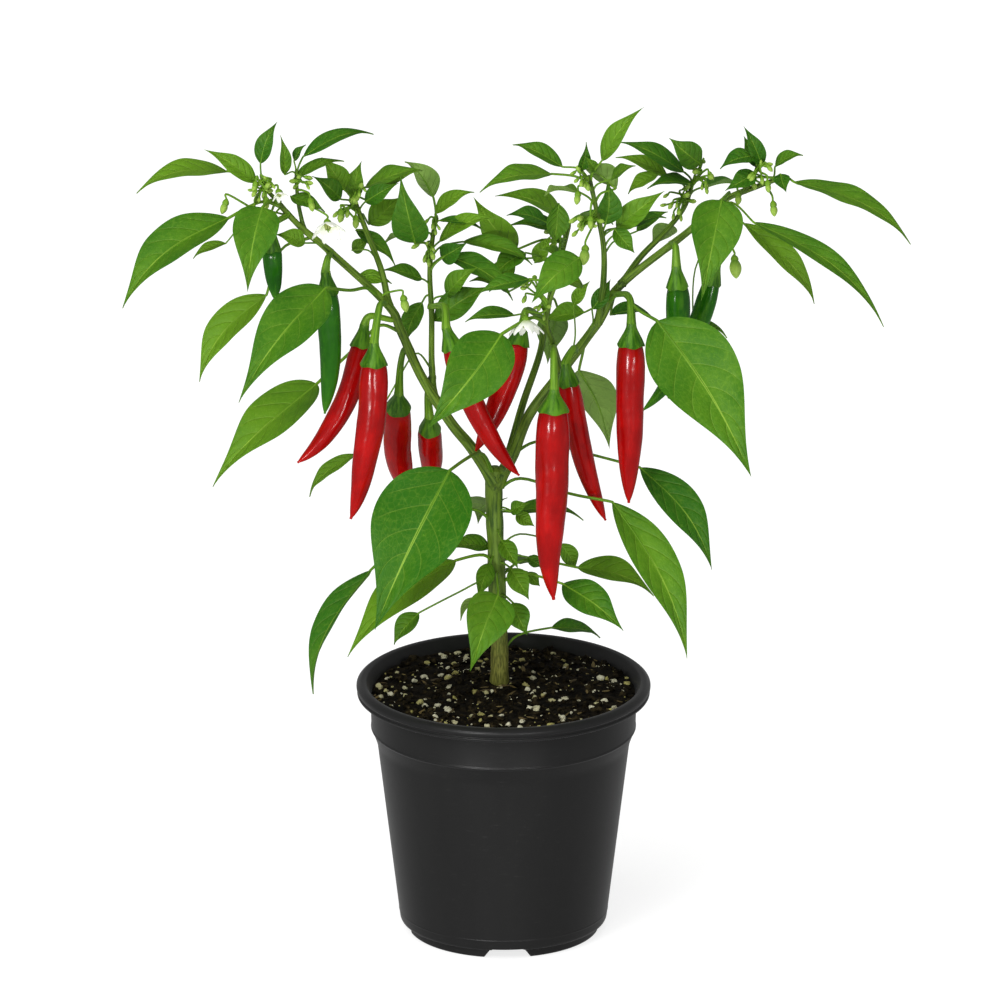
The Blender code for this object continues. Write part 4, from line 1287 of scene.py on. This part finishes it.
@dataclass
class Stem:
    """The trunk and its limbs, as one skin."""

    growth: Growth
    sides: int = 20

    def limb_shape(self, limb: Limb) -> tuple[Array, Array]:
        """The middle line and the radii of a limb, swollen at its joints and flared at its foot."""
        path = smooth_path(self.growth.lift(*limb.points), 12 if limb.name == "trunk" else 8)
        radii = limb.thick + (limb.thin - limb.thick) * np.linspace(0, 1, len(path))
        if limb.name == "trunk":
            rise = path[:, 2] - self.growth.crown
            radii = radii + 0.9 * np.exp(-((rise - 1).clip(0) / 4.0))
        else:
            radii = radii * (1 + 0.32 * np.exp(-lengths(path) / (1.6 * limb.thick)))
        return path, radii * (1 + 0.10 * self.nearness(path, radii))

    def nearness(self, points: Array, radii: Array) -> Array:
        """How near each point is to a joint, from 0 to 1."""
        near = np.linalg.norm(points[:, None] - self.growth.joints()[None], axis=2).min(axis=1)
        return np.exp(-((near / (1.1 * radii + 1.4)) ** 2))

    def limb_skin(self, limb: Limb) -> bpy.types.Object:
        """One ribbed limb."""
        path, radii = self.limb_shape(limb)
        radii[-1] *= 0.55
        skin = Skin()
        ribs = (5, 0.045) if limb.name != "trunk" else (3, 0.05)
        skin.tube(path, radii, self.sides, 0, ribs=ribs)
        return skin.build("stem_wood" if limb.name == "trunk" else limb.name, [Look.STEM], 60)

    def mark(self, stem: bpy.types.Object) -> None:
        """Gives each point of the joined stem the marks and tints of the limb that it is nearest to."""
        mesh = stem.data
        points = np.empty(len(mesh.vertices) * 3, np.float32)
        mesh.vertices.foreach_get("co", points)
        points = points.reshape(-1, 3) / MM
        best = np.full(len(points), np.inf)
        marks, tints = np.zeros((len(points), 3)), np.zeros((len(points), 3))
        for n, limb in enumerate(LIMBS):
            path, radii = self.limb_shape(limb)
            side, normal = carried_frames(path, UP)
            away = np.linalg.norm(points[:, None] - path[None], axis=2)
            nearest = away.argmin(axis=1)
            depth = away.min(axis=1) - radii[nearest]
            chosen = depth < best
            best = np.where(chosen, depth, best)
            nearest = nearest[chosen]
            arm = unit(points[chosen] - path[nearest])
            marks[chosen, 0] = (arm * normal[nearest]).sum(axis=1)
            marks[chosen, 1] = (arm * side[nearest]).sum(axis=1)
            marks[chosen, 2] = lengths(path)[nearest] + 170 * n
            tints[chosen, 0] = self.nearness(points[chosen], radii[nearest])
            rise = points[chosen, 2] - self.growth.crown
            tints[chosen, 1] = 1 - np.clip((rise - 14) / 46, 0, 1)
            tints[chosen, 2] = n / len(LIMBS)
        for label, rows in (("marks", marks), ("tints", tints)):
            kept = mesh.attributes.get(label) or mesh.attributes.new(label, "FLOAT_VECTOR", "POINT")
            kept.data.foreach_set("vector", rows.astype(np.float32).ravel())

    def build(self) -> None:
        """Grows the limbs and joins them."""
        trunk, *others = (self.limb_skin(limb) for limb in LIMBS)
        for other in others:
            combine(trunk, other, "UNION")
        self.mark(trunk)
        trunk.data.shade_smooth()
        trunk.data.set_sharp_from_angle(angle=math.radians(50))
        settle(trunk, "green_stem", "stem")


@dataclass
class Foliage:
    """Leaves: each a thin blade with a midrib, on a petiole that enters its limb."""

    growth: Growth
    thickness: float = 0.42
    fold: float = 0.30
    petiole: float = 0.85

    def width_at(self, share: Array, peak: float) -> Array:
        """The blade's width along it, as a share of the widest. The tip is drawn out."""
        full = np.sin(math.pi * np.clip(share, 1e-4, 1 - 1e-4) ** (math.log(0.5) / math.log(peak))) ** 1.08
        drawn = np.clip((share - 1.35 * peak) / (1 - 1.35 * peak), 0, 1)
        return full * (1 - 0.45 * drawn * drawn * (3 - 2 * drawn))

    def blade(self, skin: Skin, leaf: Leaf, pick: random.Random) -> tuple[Array, Array]:
        """Adds the blade.

        Args:
            skin: The skin to add to.
            leaf: The leaf's plan.
            pick: The leaf's own random numbers.

        Returns:
            The blade's middle line and its normals, for the midrib.
        """
        base, tip = self.growth.lift(leaf.base, leaf.tip)
        run = tip - base
        length = float(np.linalg.norm(run))
        face = unit(np.array(leaf.face) - unit(run) * np.dot(leaf.face, unit(run)))
        beside = np.cross(unit(run), face)
        rows = int(np.clip(length / 1.2, 22, 60))
        half_columns = int(np.clip(leaf.width / 3.2, 5, 9))
        share = np.linspace(0, 1, rows)
        sway, droop, twist = pick.uniform(-0.05, 0.05), pick.uniform(0.01, 0.05), pick.uniform(-0.35, 0.35)
        lift = leaf.arch * length * 4 * share * (1 - share) * (1 + 0.7 * (share - 0.5))
        middle = (base + share[:, None] * run + face * (lift - droop * length * share**3)[:, None]
                  + beside * (sway * length * np.sin(math.pi * share))[:, None])
        along = tangents(middle)
        normal = unit(face - along * (along @ face)[:, None])
        side = np.cross(along, normal)
        turn = (twist * (share - 0.3))[:, None]
        side, normal = (side * np.cos(turn) + normal * np.sin(turn),
                        normal * np.cos(turn) - side * np.sin(turn))
        half = leaf.width / 2 * self.width_at(share, leaf.peak)
        across = np.sin(np.linspace(-math.pi / 2, math.pi / 2, 2 * half_columns + 1) * 0.92) / math.sin(
            0.46 * math.pi)
        out = np.abs(across)
        waves, wave = pick.uniform(1.6, 3.0), pick.uniform(0.02, 0.07)
        starts = pick.uniform(0, math.tau), pick.uniform(0, math.tau)
        start = np.where(across > 0, starts[0], starts[1])
        s, t, o = share[:, None], across[None], out[None]
        ripple = wave * o**2.5 * np.sin(math.tau * waves * s + start[None])
        shape = self.fold * pick.uniform(0.7, 1.3) * (1.3 * o**1.5 - 0.3 * o**3) + ripple
        phase = ((s - VEIN_SWEEP * o**1.3) * VEINS + 0.5 * (t > 0)) % 1.0
        pillow = ((1 - np.abs(2 * phase - 1) ** 3) * np.clip(4 * o, 0, 1) * (1 - o**3)
                  * np.clip(6 * (1 - s), 0, 1))
        relief = pillow * min(0.34, 0.010 * leaf.width) - 0.30 * np.exp(-((o / 0.07) ** 2))
        sheet = (middle[:, None] + side[:, None] * (half[:, None] * t)[..., None]
                 + normal[:, None] * (half[:, None] * shape + relief)[..., None])
        skin_deep = (self.thickness * (1 - o**6) * np.ones_like(s))[..., None]
        under = (sheet - normal[:, None] * skin_deep)[:, -2:0:-1]
        own = pick.random()
        top_marks = np.stack(np.broadcast_arrays(t, s, own), axis=-1)
        marks = np.concatenate([top_marks, top_marks[:, -2:0:-1]], axis=1)
        looks = [0] * (len(across) - 1) + [1] * (len(across) - 1)
        skin.loft(np.concatenate([sheet, under], axis=1), looks, marks)
        return middle, normal

    def leaf(self, skin: Skin, leaf: Leaf, seed: str) -> None:
        """Adds a whole leaf."""
        pick = random.Random(seed)
        middle, normal = self.blade(skin, leaf, pick)
        first = self.growth.lift(leaf.via)[0] if leaf.via else middle[0]
        knots = self.growth.spring(leaf.limb, leaf.height, first)
        knots += [first] if leaf.via else []
        size = float(np.clip(0.35 + leaf.width / 40, 0.5, 1.15)) * self.petiole
        rib = middle - normal * (self.thickness + 0.30 * size)
        stem_part = smooth_path([*knots, middle[0], rib[2]], 6)[:-6]
        path = np.vstack([stem_part, rib[2:-2]])
        stem_count = len(stem_part)
        radii = np.concatenate([
            size * (1.0 + 0.5 * np.exp(-np.arange(stem_count) / 2.5)),
            np.linspace(size, 0.12, len(path) - stem_count),
        ])
        tints = np.zeros((len(path), 3))
        tints[:4, 0] = (0.9, 0.7, 0.4, 0.15)
        tints[:, 2] = pick.random()
        skin.tube(path, radii, 8, 2, leaf.face, tints, start=90 * pick.random())

    def build(self) -> None:
        """Grows every leaf."""
        looks = [Look.LEAF_TOP, Look.LEAF_BACK, Look.STALK]
        for plan in LEAVES:
            skin = Skin()
            self.leaf(skin, plan, plan.name)
            settle(skin.build(f"blade_{plan.name}", looks, 55), "leaf_green", f"leaf_{plan.name}")
        for shoot, plans in SMALL_LEAVES.items():
            skin = Skin()
            for plan in plans:
                self.leaf(skin, plan, shoot + plan.name)
            settle(skin.build(f"small_leaves_{shoot}", looks, 55), "leaf_green")


@dataclass
class Fruit:
    """Pods, with the stalks and toothed caps that hold them."""

    growth: Growth
    sides: int = 40
    cap: float = 10.5
    stalk: float = 1.75

    def girth(self, share: Array, taper: float) -> Array:
        """A pod's radius along its length: a round shoulder, a long taper and a narrow point."""
        shoulder = 0.76 + 0.24 * (1 - (1 - np.clip(share / 0.17, 0, 1)) ** 2.2)
        return np.maximum(shoulder * np.clip(1 - share**taper, 0, None) ** 0.72, 0.10)

    def pod(self, plan: Pod, pick: random.Random) -> tuple[bpy.types.Object, Array]:
        """The pod itself.

        Args:
            plan: Its plan.
            pick: Its own random numbers.

        Returns:
            The pod, and the middle line of its first part.
        """
        top, tip = self.growth.lift(plan.top, plan.tip)
        share = np.concatenate([np.linspace(0, 0.12, 9)[:-1], np.linspace(0.12, 0.9, 34),
                                np.linspace(0.9, 1, 8)[1:]])
        s = share[:, None]
        run = tip - top
        hook = np.cross(unit(run), (0, -1, 0)) * pick.uniform(-0.035, 0.035) * np.linalg.norm(run)
        bow = np.array(plan.bow, float) * 4 * s * (1 - s)
        path = top + run * s + bow + hook * np.clip((s - 0.7) / 0.3, 0, 1) ** 2
        sway = np.array((pick.uniform(-1, 1), pick.uniform(-1, 1), 0))
        path += sway * np.sin(s * 9 + pick.uniform(0, 6)) * 0.7 * s
        side, normal = carried_frames(path, UP)
        angle = np.arange(self.sides) * math.tau / self.sides
        seed = Vector((pick.uniform(0, 50), 0, pick.uniform(0, 50)))
        radii = plan.radius * self.girth(share, plan.taper)
        dents = np.array([[noise.noise(Vector((math.cos(a) * 0.9, math.sin(a) * 0.9, d * 0.045)) + seed)
                           for a in angle] for d in lengths(path)])
        dents += 0.22 * np.array([
            [noise.noise(Vector((math.cos(a) * 1.9, math.sin(a) * 1.9, d * 0.16)) + seed) for a in angle]
            for d in lengths(path)
        ])
        lobes = 0.035 * np.cos(3 * angle + pick.uniform(0, 6))[None] * (1 - s) ** 0.5
        spread = radii[:, None] * (1 + 0.11 * dents * (1 - 0.6 * s) + lobes)
        arms = np.cos(angle)[None, :, None] * normal[:, None] - np.sin(angle)[None, :, None] * side[:, None]
        marks = np.empty((len(path), self.sides, 3))
        marks[..., 0], marks[..., 1] = np.cos(angle), np.sin(angle)
        marks[..., 2] = lengths(path)[:, None] + 200 * pick.random()
        tints = np.empty_like(marks)
        # how near the shoulder is; the pod's finish darkens it there as painted shade under the cap
        tints[..., 0] = np.clip(1 - s / 0.10, 0, 1)
        tints[..., 1] = np.clip((s - 0.8) / 0.2, 0, 1)
        tints[..., 2] = pick.random()
        skin = Skin()
        skin.loft(path[:, None] + arms * spread[..., None], 0, marks, tints)
        made = skin.build(f"fruit_{plan.name}", [Look.RIPE if plan.ripe else Look.UNRIPE], 60)
        return made, path

    def holder(self, plan: Pod, body: Array, pick: random.Random) -> bpy.types.Object:
        """The stalk, and the cap with its five teeth.

        Args:
            plan: The pod's plan.
            body: The middle line of the pod.
            pick: Its own random numbers.

        Returns:
            The stalk and cap in one object.
        """
        down = unit(body[2] - body[0])
        cap_top = body[0] - down * self.cap
        via = self.growth.lift(plan.via)[0]
        centre = self.growth.leave(plan.limb, plan.height, via)[:2]
        route = smooth_path([*centre, via, cap_top, body[0] - 2 * down], 9)[:-9]
        share = np.linspace(0, 1, len(route))
        radii = self.stalk * (1 + 0.35 * np.exp(-share * 14) - 0.12 * np.sin(math.pi * share)
                              + 0.50 * share**3)
        own = pick.random()
        tints = np.zeros((len(route), 3))
        tints[:, 0], tints[:, 2] = np.exp(-share * 20), own
        skin = Skin()
        skin.tube(np.vstack([route, cap_top + down * 1.5]), np.append(radii, radii[-1]), 16, 0,
                  UP, np.vstack([tints, tints[-1]]), (5, 0.07), 200 * own)
        wide, neck = plan.radius, self.stalk * 1.5
        profile = [(-1.0, 0.5 * neck), (-0.6, neck), (0.8, neck * 1.04)]
        for share in np.linspace(0.15, 1.0, 9):
            flare = 0.55 * share**1.5 + 0.45 * share**2 * (3 - 2 * share)
            profile.append((self.cap * share + 0.8 * share, neck + (0.87 * wide + 0.35 - neck) * flare))
        profile += [(self.cap + 1.3, 0.90 * wide + 0.40), (self.cap + 1.2, 0.78 * wide),
                    (self.cap, 0.5 * wide)]
        columns = 50
        angle = np.arange(columns) * math.tau / columns
        teeth = np.cos(5 * angle + pick.uniform(0, 6))
        side, normal = carried_frames(np.array([cap_top, body[0]]), UP)
        arms = np.cos(angle)[:, None] * normal[0] - np.sin(angle)[:, None] * side[0]
        rings, marks = [], []
        for depth, radius in profile:
            pull = max(0.0, (depth - 4.0) / 5.5)
            reach = depth + 0.22 * teeth * pull**2
            bulge = radius * (1 + 0.03 * np.cos(5 * angle) * (1 - 0.7 * pull))
            rings.append(cap_top + down * reach[:, None] + arms * bulge[:, None])
            below = np.full(columns, depth * 2 + 50 * own)
            marks.append(np.stack([np.cos(angle), np.sin(angle), below], axis=1))
        skin.loft(np.array(rings), 1, np.array(marks), (0, 0, own))
        return skin.build(f"holder_{plan.name}", [Look.STALK, Look.CALYX], 60)

    def build(self) -> None:
        """Hangs every pod."""
        for plan in PODS:
            pick = random.Random(plan.name)
            pod, body = self.pod(plan, pick)
            settle(pod, "ripe_red" if plan.ripe else "unripe_green", f"pod_{plan.name}")
            settle(self.holder(plan, body, pick), "calyx_green", f"stalk_{plan.name}")


@dataclass
class Blossom:
    """Buds and open flowers, which hang from the tips of the shoots."""

    growth: Growth
    petals: int = 6

    def stalk(self, skin: Skin, bloom: Bloom, place: Array, facing: Array) -> None:
        """Adds the thin stalk and the small green cup."""
        neck = place - facing * 2.2
        route = smooth_path([*self.growth.leave(bloom.limb, bloom.height, neck), neck - facing * 3, neck], 5)
        skin.tube(route, np.linspace(0.75, 0.55, len(route)), 8, 2)
        cup = neck + facing * np.linspace(-0.6, 2.8, 7)[:, None]
        widths = np.array((0.6, 1.1, 1.6, 1.9, 2.0, 2.05, 1.7)) * (0.45 + 0.12 * min(bloom.size, 5))
        skin.tube(cup, widths, 15, 2,
                  ribs=(5, 0.08))

    def bud(self, skin: Skin, place: Array, facing: Array, size: float) -> None:
        """Adds a closed bud."""
        share = np.linspace(0, 1, 14)
        path = place + facing * (size * 1.7 * share - 0.8)[:, None]
        radii = size * 0.5 * np.sin(math.pi * np.clip(share * 0.94 + 0.05, 0, 1)) ** 0.7
        side, normal = carried_frames(path, UP)
        angle = np.arange(20) * math.tau / 20
        arms = np.cos(angle)[None, :, None] * normal[:, None] - np.sin(angle)[None, :, None] * side[:, None]
        rings = path[:, None] + arms * (radii[:, None] * (1 + 0.05 * np.cos(5 * angle)))[..., None]
        marks = np.stack(np.broadcast_arrays(np.cos(5 * angle)[None], share[:, None], 0.5), axis=-1)
        skin.loft(rings, 1, marks)

    def flower(self, skin: Skin, place: Array, facing: Array, size: float) -> None:
        """Adds a star of petals round a cone of anthers."""
        side, normal = carried_frames(np.array([place, place + facing]), UP)
        for i in range(self.petals):
            turn = math.tau * i / self.petals
            out = math.cos(turn) * normal[0] - math.sin(turn) * side[0]
            over = np.cross(facing, out)
            share, across = np.linspace(0, 1, 12)[:, None], np.linspace(-1, 1, 9)[None]
            half = size * 0.30 * np.sin(math.pi * (0.12 + 0.86 * share)) ** 0.8
            reach = size * (0.12 + 0.86 * share)
            drop = size * (0.38 * share + 0.34 * share**2) + 0.10 * size * across**2 * share
            sheet = (place + out * reach[..., None] + over * (half * across)[..., None]
                     + facing * drop[..., None])
            under = (sheet - facing * 0.28)[:, -2:0:-1]
            marks = np.stack(np.broadcast_arrays(across, share, 0.5), axis=-1)
            skin.loft(np.concatenate([sheet, under], axis=1), 0,
                      np.concatenate([marks, marks[:, -2:0:-1]], axis=1))
            path = place + out * size * 0.13 + facing * np.linspace(-0.3, size * 0.42, 8)[:, None]
            skin.tube(path, 0.62 * np.array((0.5, 0.9, 1.0, 1.0, 1.0, 0.95, 0.8, 0.4)), 8, 3)
        pistil = place + facing * np.linspace(0, size * 0.58, 6)[:, None]
        skin.tube(pistil, np.array((0.3, 0.3, 0.3, 0.3, 0.42, 0.3)), 8, 1)

    def bunch(self, skin: Skin, limb: str, height: float, middle: Point, spread: float, count: int) -> None:
        """Adds a tight bunch of young buds and their short stalks."""
        pick = random.Random(f"{limb}{height}")
        heart = self.growth.lift(middle)[0]
        for _ in range(count):
            way = unit(np.array([pick.gauss(0, 1), pick.gauss(-0.4, 0.8), pick.gauss(0.1, 0.9)]))
            place = heart + way * spread * pick.uniform(0.45, 1.0)
            facing = unit(way + (0, -0.1, pick.uniform(-1.4, 0.2)))
            size = pick.uniform(1.6, 2.9)
            start = self.growth.place_on(limb, height + pick.uniform(-4, 4))[0]
            neck = place - facing * 1.2
            halfway = start + 0.45 * (heart - start) + (0, 0, 1.0)
            route = smooth_path([start, halfway, neck - facing * 2, neck], 4)
            skin.tube(route, np.linspace(0.72, 0.5, len(route)), 6, 2, tints=(0, 0, pick.random()))
            cup = neck + facing * np.linspace(-0.5, 1.7, 5)[:, None]
            skin.tube(cup, np.array((0.5, 0.95, 1.25, 1.35, 1.1)) * size * 0.34, 10, 2)
            self.bud(skin, place, facing, size)

    def build(self) -> None:
        """Makes the buds and the flowers."""
        looks = [Look.PETAL, Look.BUD, Look.STALK, Look.ANTHER]
        for name, is_open in (("buds", False), ("flowers", True)):
            skin = Skin()
            for bloom in (b for b in BLOOMS if b.is_open == is_open):
                place, facing = self.growth.lift(bloom.place)[0], unit(np.array(bloom.facing))
                self.stalk(skin, bloom, place, facing)
                (self.flower if is_open else self.bud)(skin, place, facing, bloom.size)
            for bunch in () if is_open else BUNCHES:
                self.bunch(skin, *bunch)
            settle(skin.build(name, looks, 60), "calyx_green")


@dataclass
class Studio:
    """A pale floor, a soft sky, small lamps and the camera. Its lengths are in metres."""

    aim: Point = (-0.0019, 0.0, 0.2457)
    elevation: float = 19.5
    distance: float = 20.0
    lens: float = 1327.4
    floor: float = 30.0
    sky_strength: float = 2.5
    sky_spread: float = 70.0
    sky_from: Point = (-0.22, -0.50, 0.84)
    room_strength: float = 0.28
    lamp_aim: Point = (0, 0, 0.25)

    def put(self, name: str, data: Any) -> bpy.types.Object:
        """Puts a mesh, a light or a camera into the scene."""
        thing = bpy.data.objects.new(name, data)
        bpy.context.scene.collection.objects.link(thing)
        return thing

    def paper(self) -> None:
        """Lays the floor."""
        edge = self.floor
        mesh = bpy.data.meshes.new("paper")
        corners = [(-edge, -edge, 0), (edge, -edge, 0), (edge, edge, 0), (-edge, edge, 0)]
        mesh.from_pydata(corners, [], [(0, 1, 2, 3)])
        mesh.materials.append(Look.FLOOR.material())
        floor = self.put("paper", mesh)
        floor.visible_glossy = False

    def lamp(self, name: str, place: Point, size: float, power: float) -> None:
        """Hangs one soft square lamp that faces the plant.

        Args:
            name: Its name.
            place: Where it hangs.
            size: The length of its sides.
            power: Its power, in watts.
        """
        light = bpy.data.lights.new(name, "AREA")
        light.size, light.energy = size, power
        thing = self.put(name, light)
        thing.location = place
        thing.rotation_euler = (Vector(self.lamp_aim) - Vector(place)).to_track_quat("-Z", "Y").to_euler()

    def camera(self) -> None:
        """Sets the camera up."""
        tilt = math.radians(self.elevation)
        lens = bpy.data.cameras.new("camera")
        lens.lens, lens.sensor_width, lens.clip_end = self.lens, 36.0, 90.0
        thing = self.put("camera", lens)
        thing.location = Vector(self.aim) + self.distance * Vector((0, -math.cos(tilt), math.sin(tilt)))
        thing.rotation_euler = (math.pi / 2 - tilt, 0, 0)
        bpy.context.scene.camera = thing

    def build(self) -> None:
        """Sets up the whole studio."""
        self.paper()
        sky = bpy.data.lights.new("sky", "SUN")
        sky.energy, sky.angle = self.sky_strength, math.radians(self.sky_spread)
        thing = self.put("sky", sky)
        thing.rotation_euler = Vector(self.sky_from).to_track_quat("Z", "Y").to_euler()
        thing.visible_glossy = False
        self.lamp("key", (-0.75, -1.9, 0.16), 0.26, 16)
        self.lamp("fill", (0.55, -2.0, 0.14), 0.20, 7)
        self.lamp("high", (-0.8, -1.7, 1.5), 0.30, 9)
        world = bpy.data.worlds.new("studio")
        world.use_nodes = True
        background = world.node_tree.nodes["Background"]
        background.inputs["Color"].default_value = (1, 1, 1, 1)
        background.inputs["Strength"].default_value = self.room_strength
        bpy.context.scene.world = world
        bpy.context.scene.view_settings.view_transform = "Standard"
        self.camera()


def main() -> None:
    """Builds the plant and its pot round the frame."""
    logging.basicConfig(level=logging.INFO, format="%(message)s")
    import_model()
    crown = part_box("potting_soil")[1][2] / MM
    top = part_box("pot")[1]
    Studio().build()
    pot = Pot(top[2] / MM, top[0] / MM)
    pot.build()
    Soil(pot, crown).build()
    growth = Growth(crown)
    Stem(growth).build()
    Foliage(growth).build()
    Fruit(growth).build()
    Blossom(growth).build()


if __name__ == "__main__":
    main()
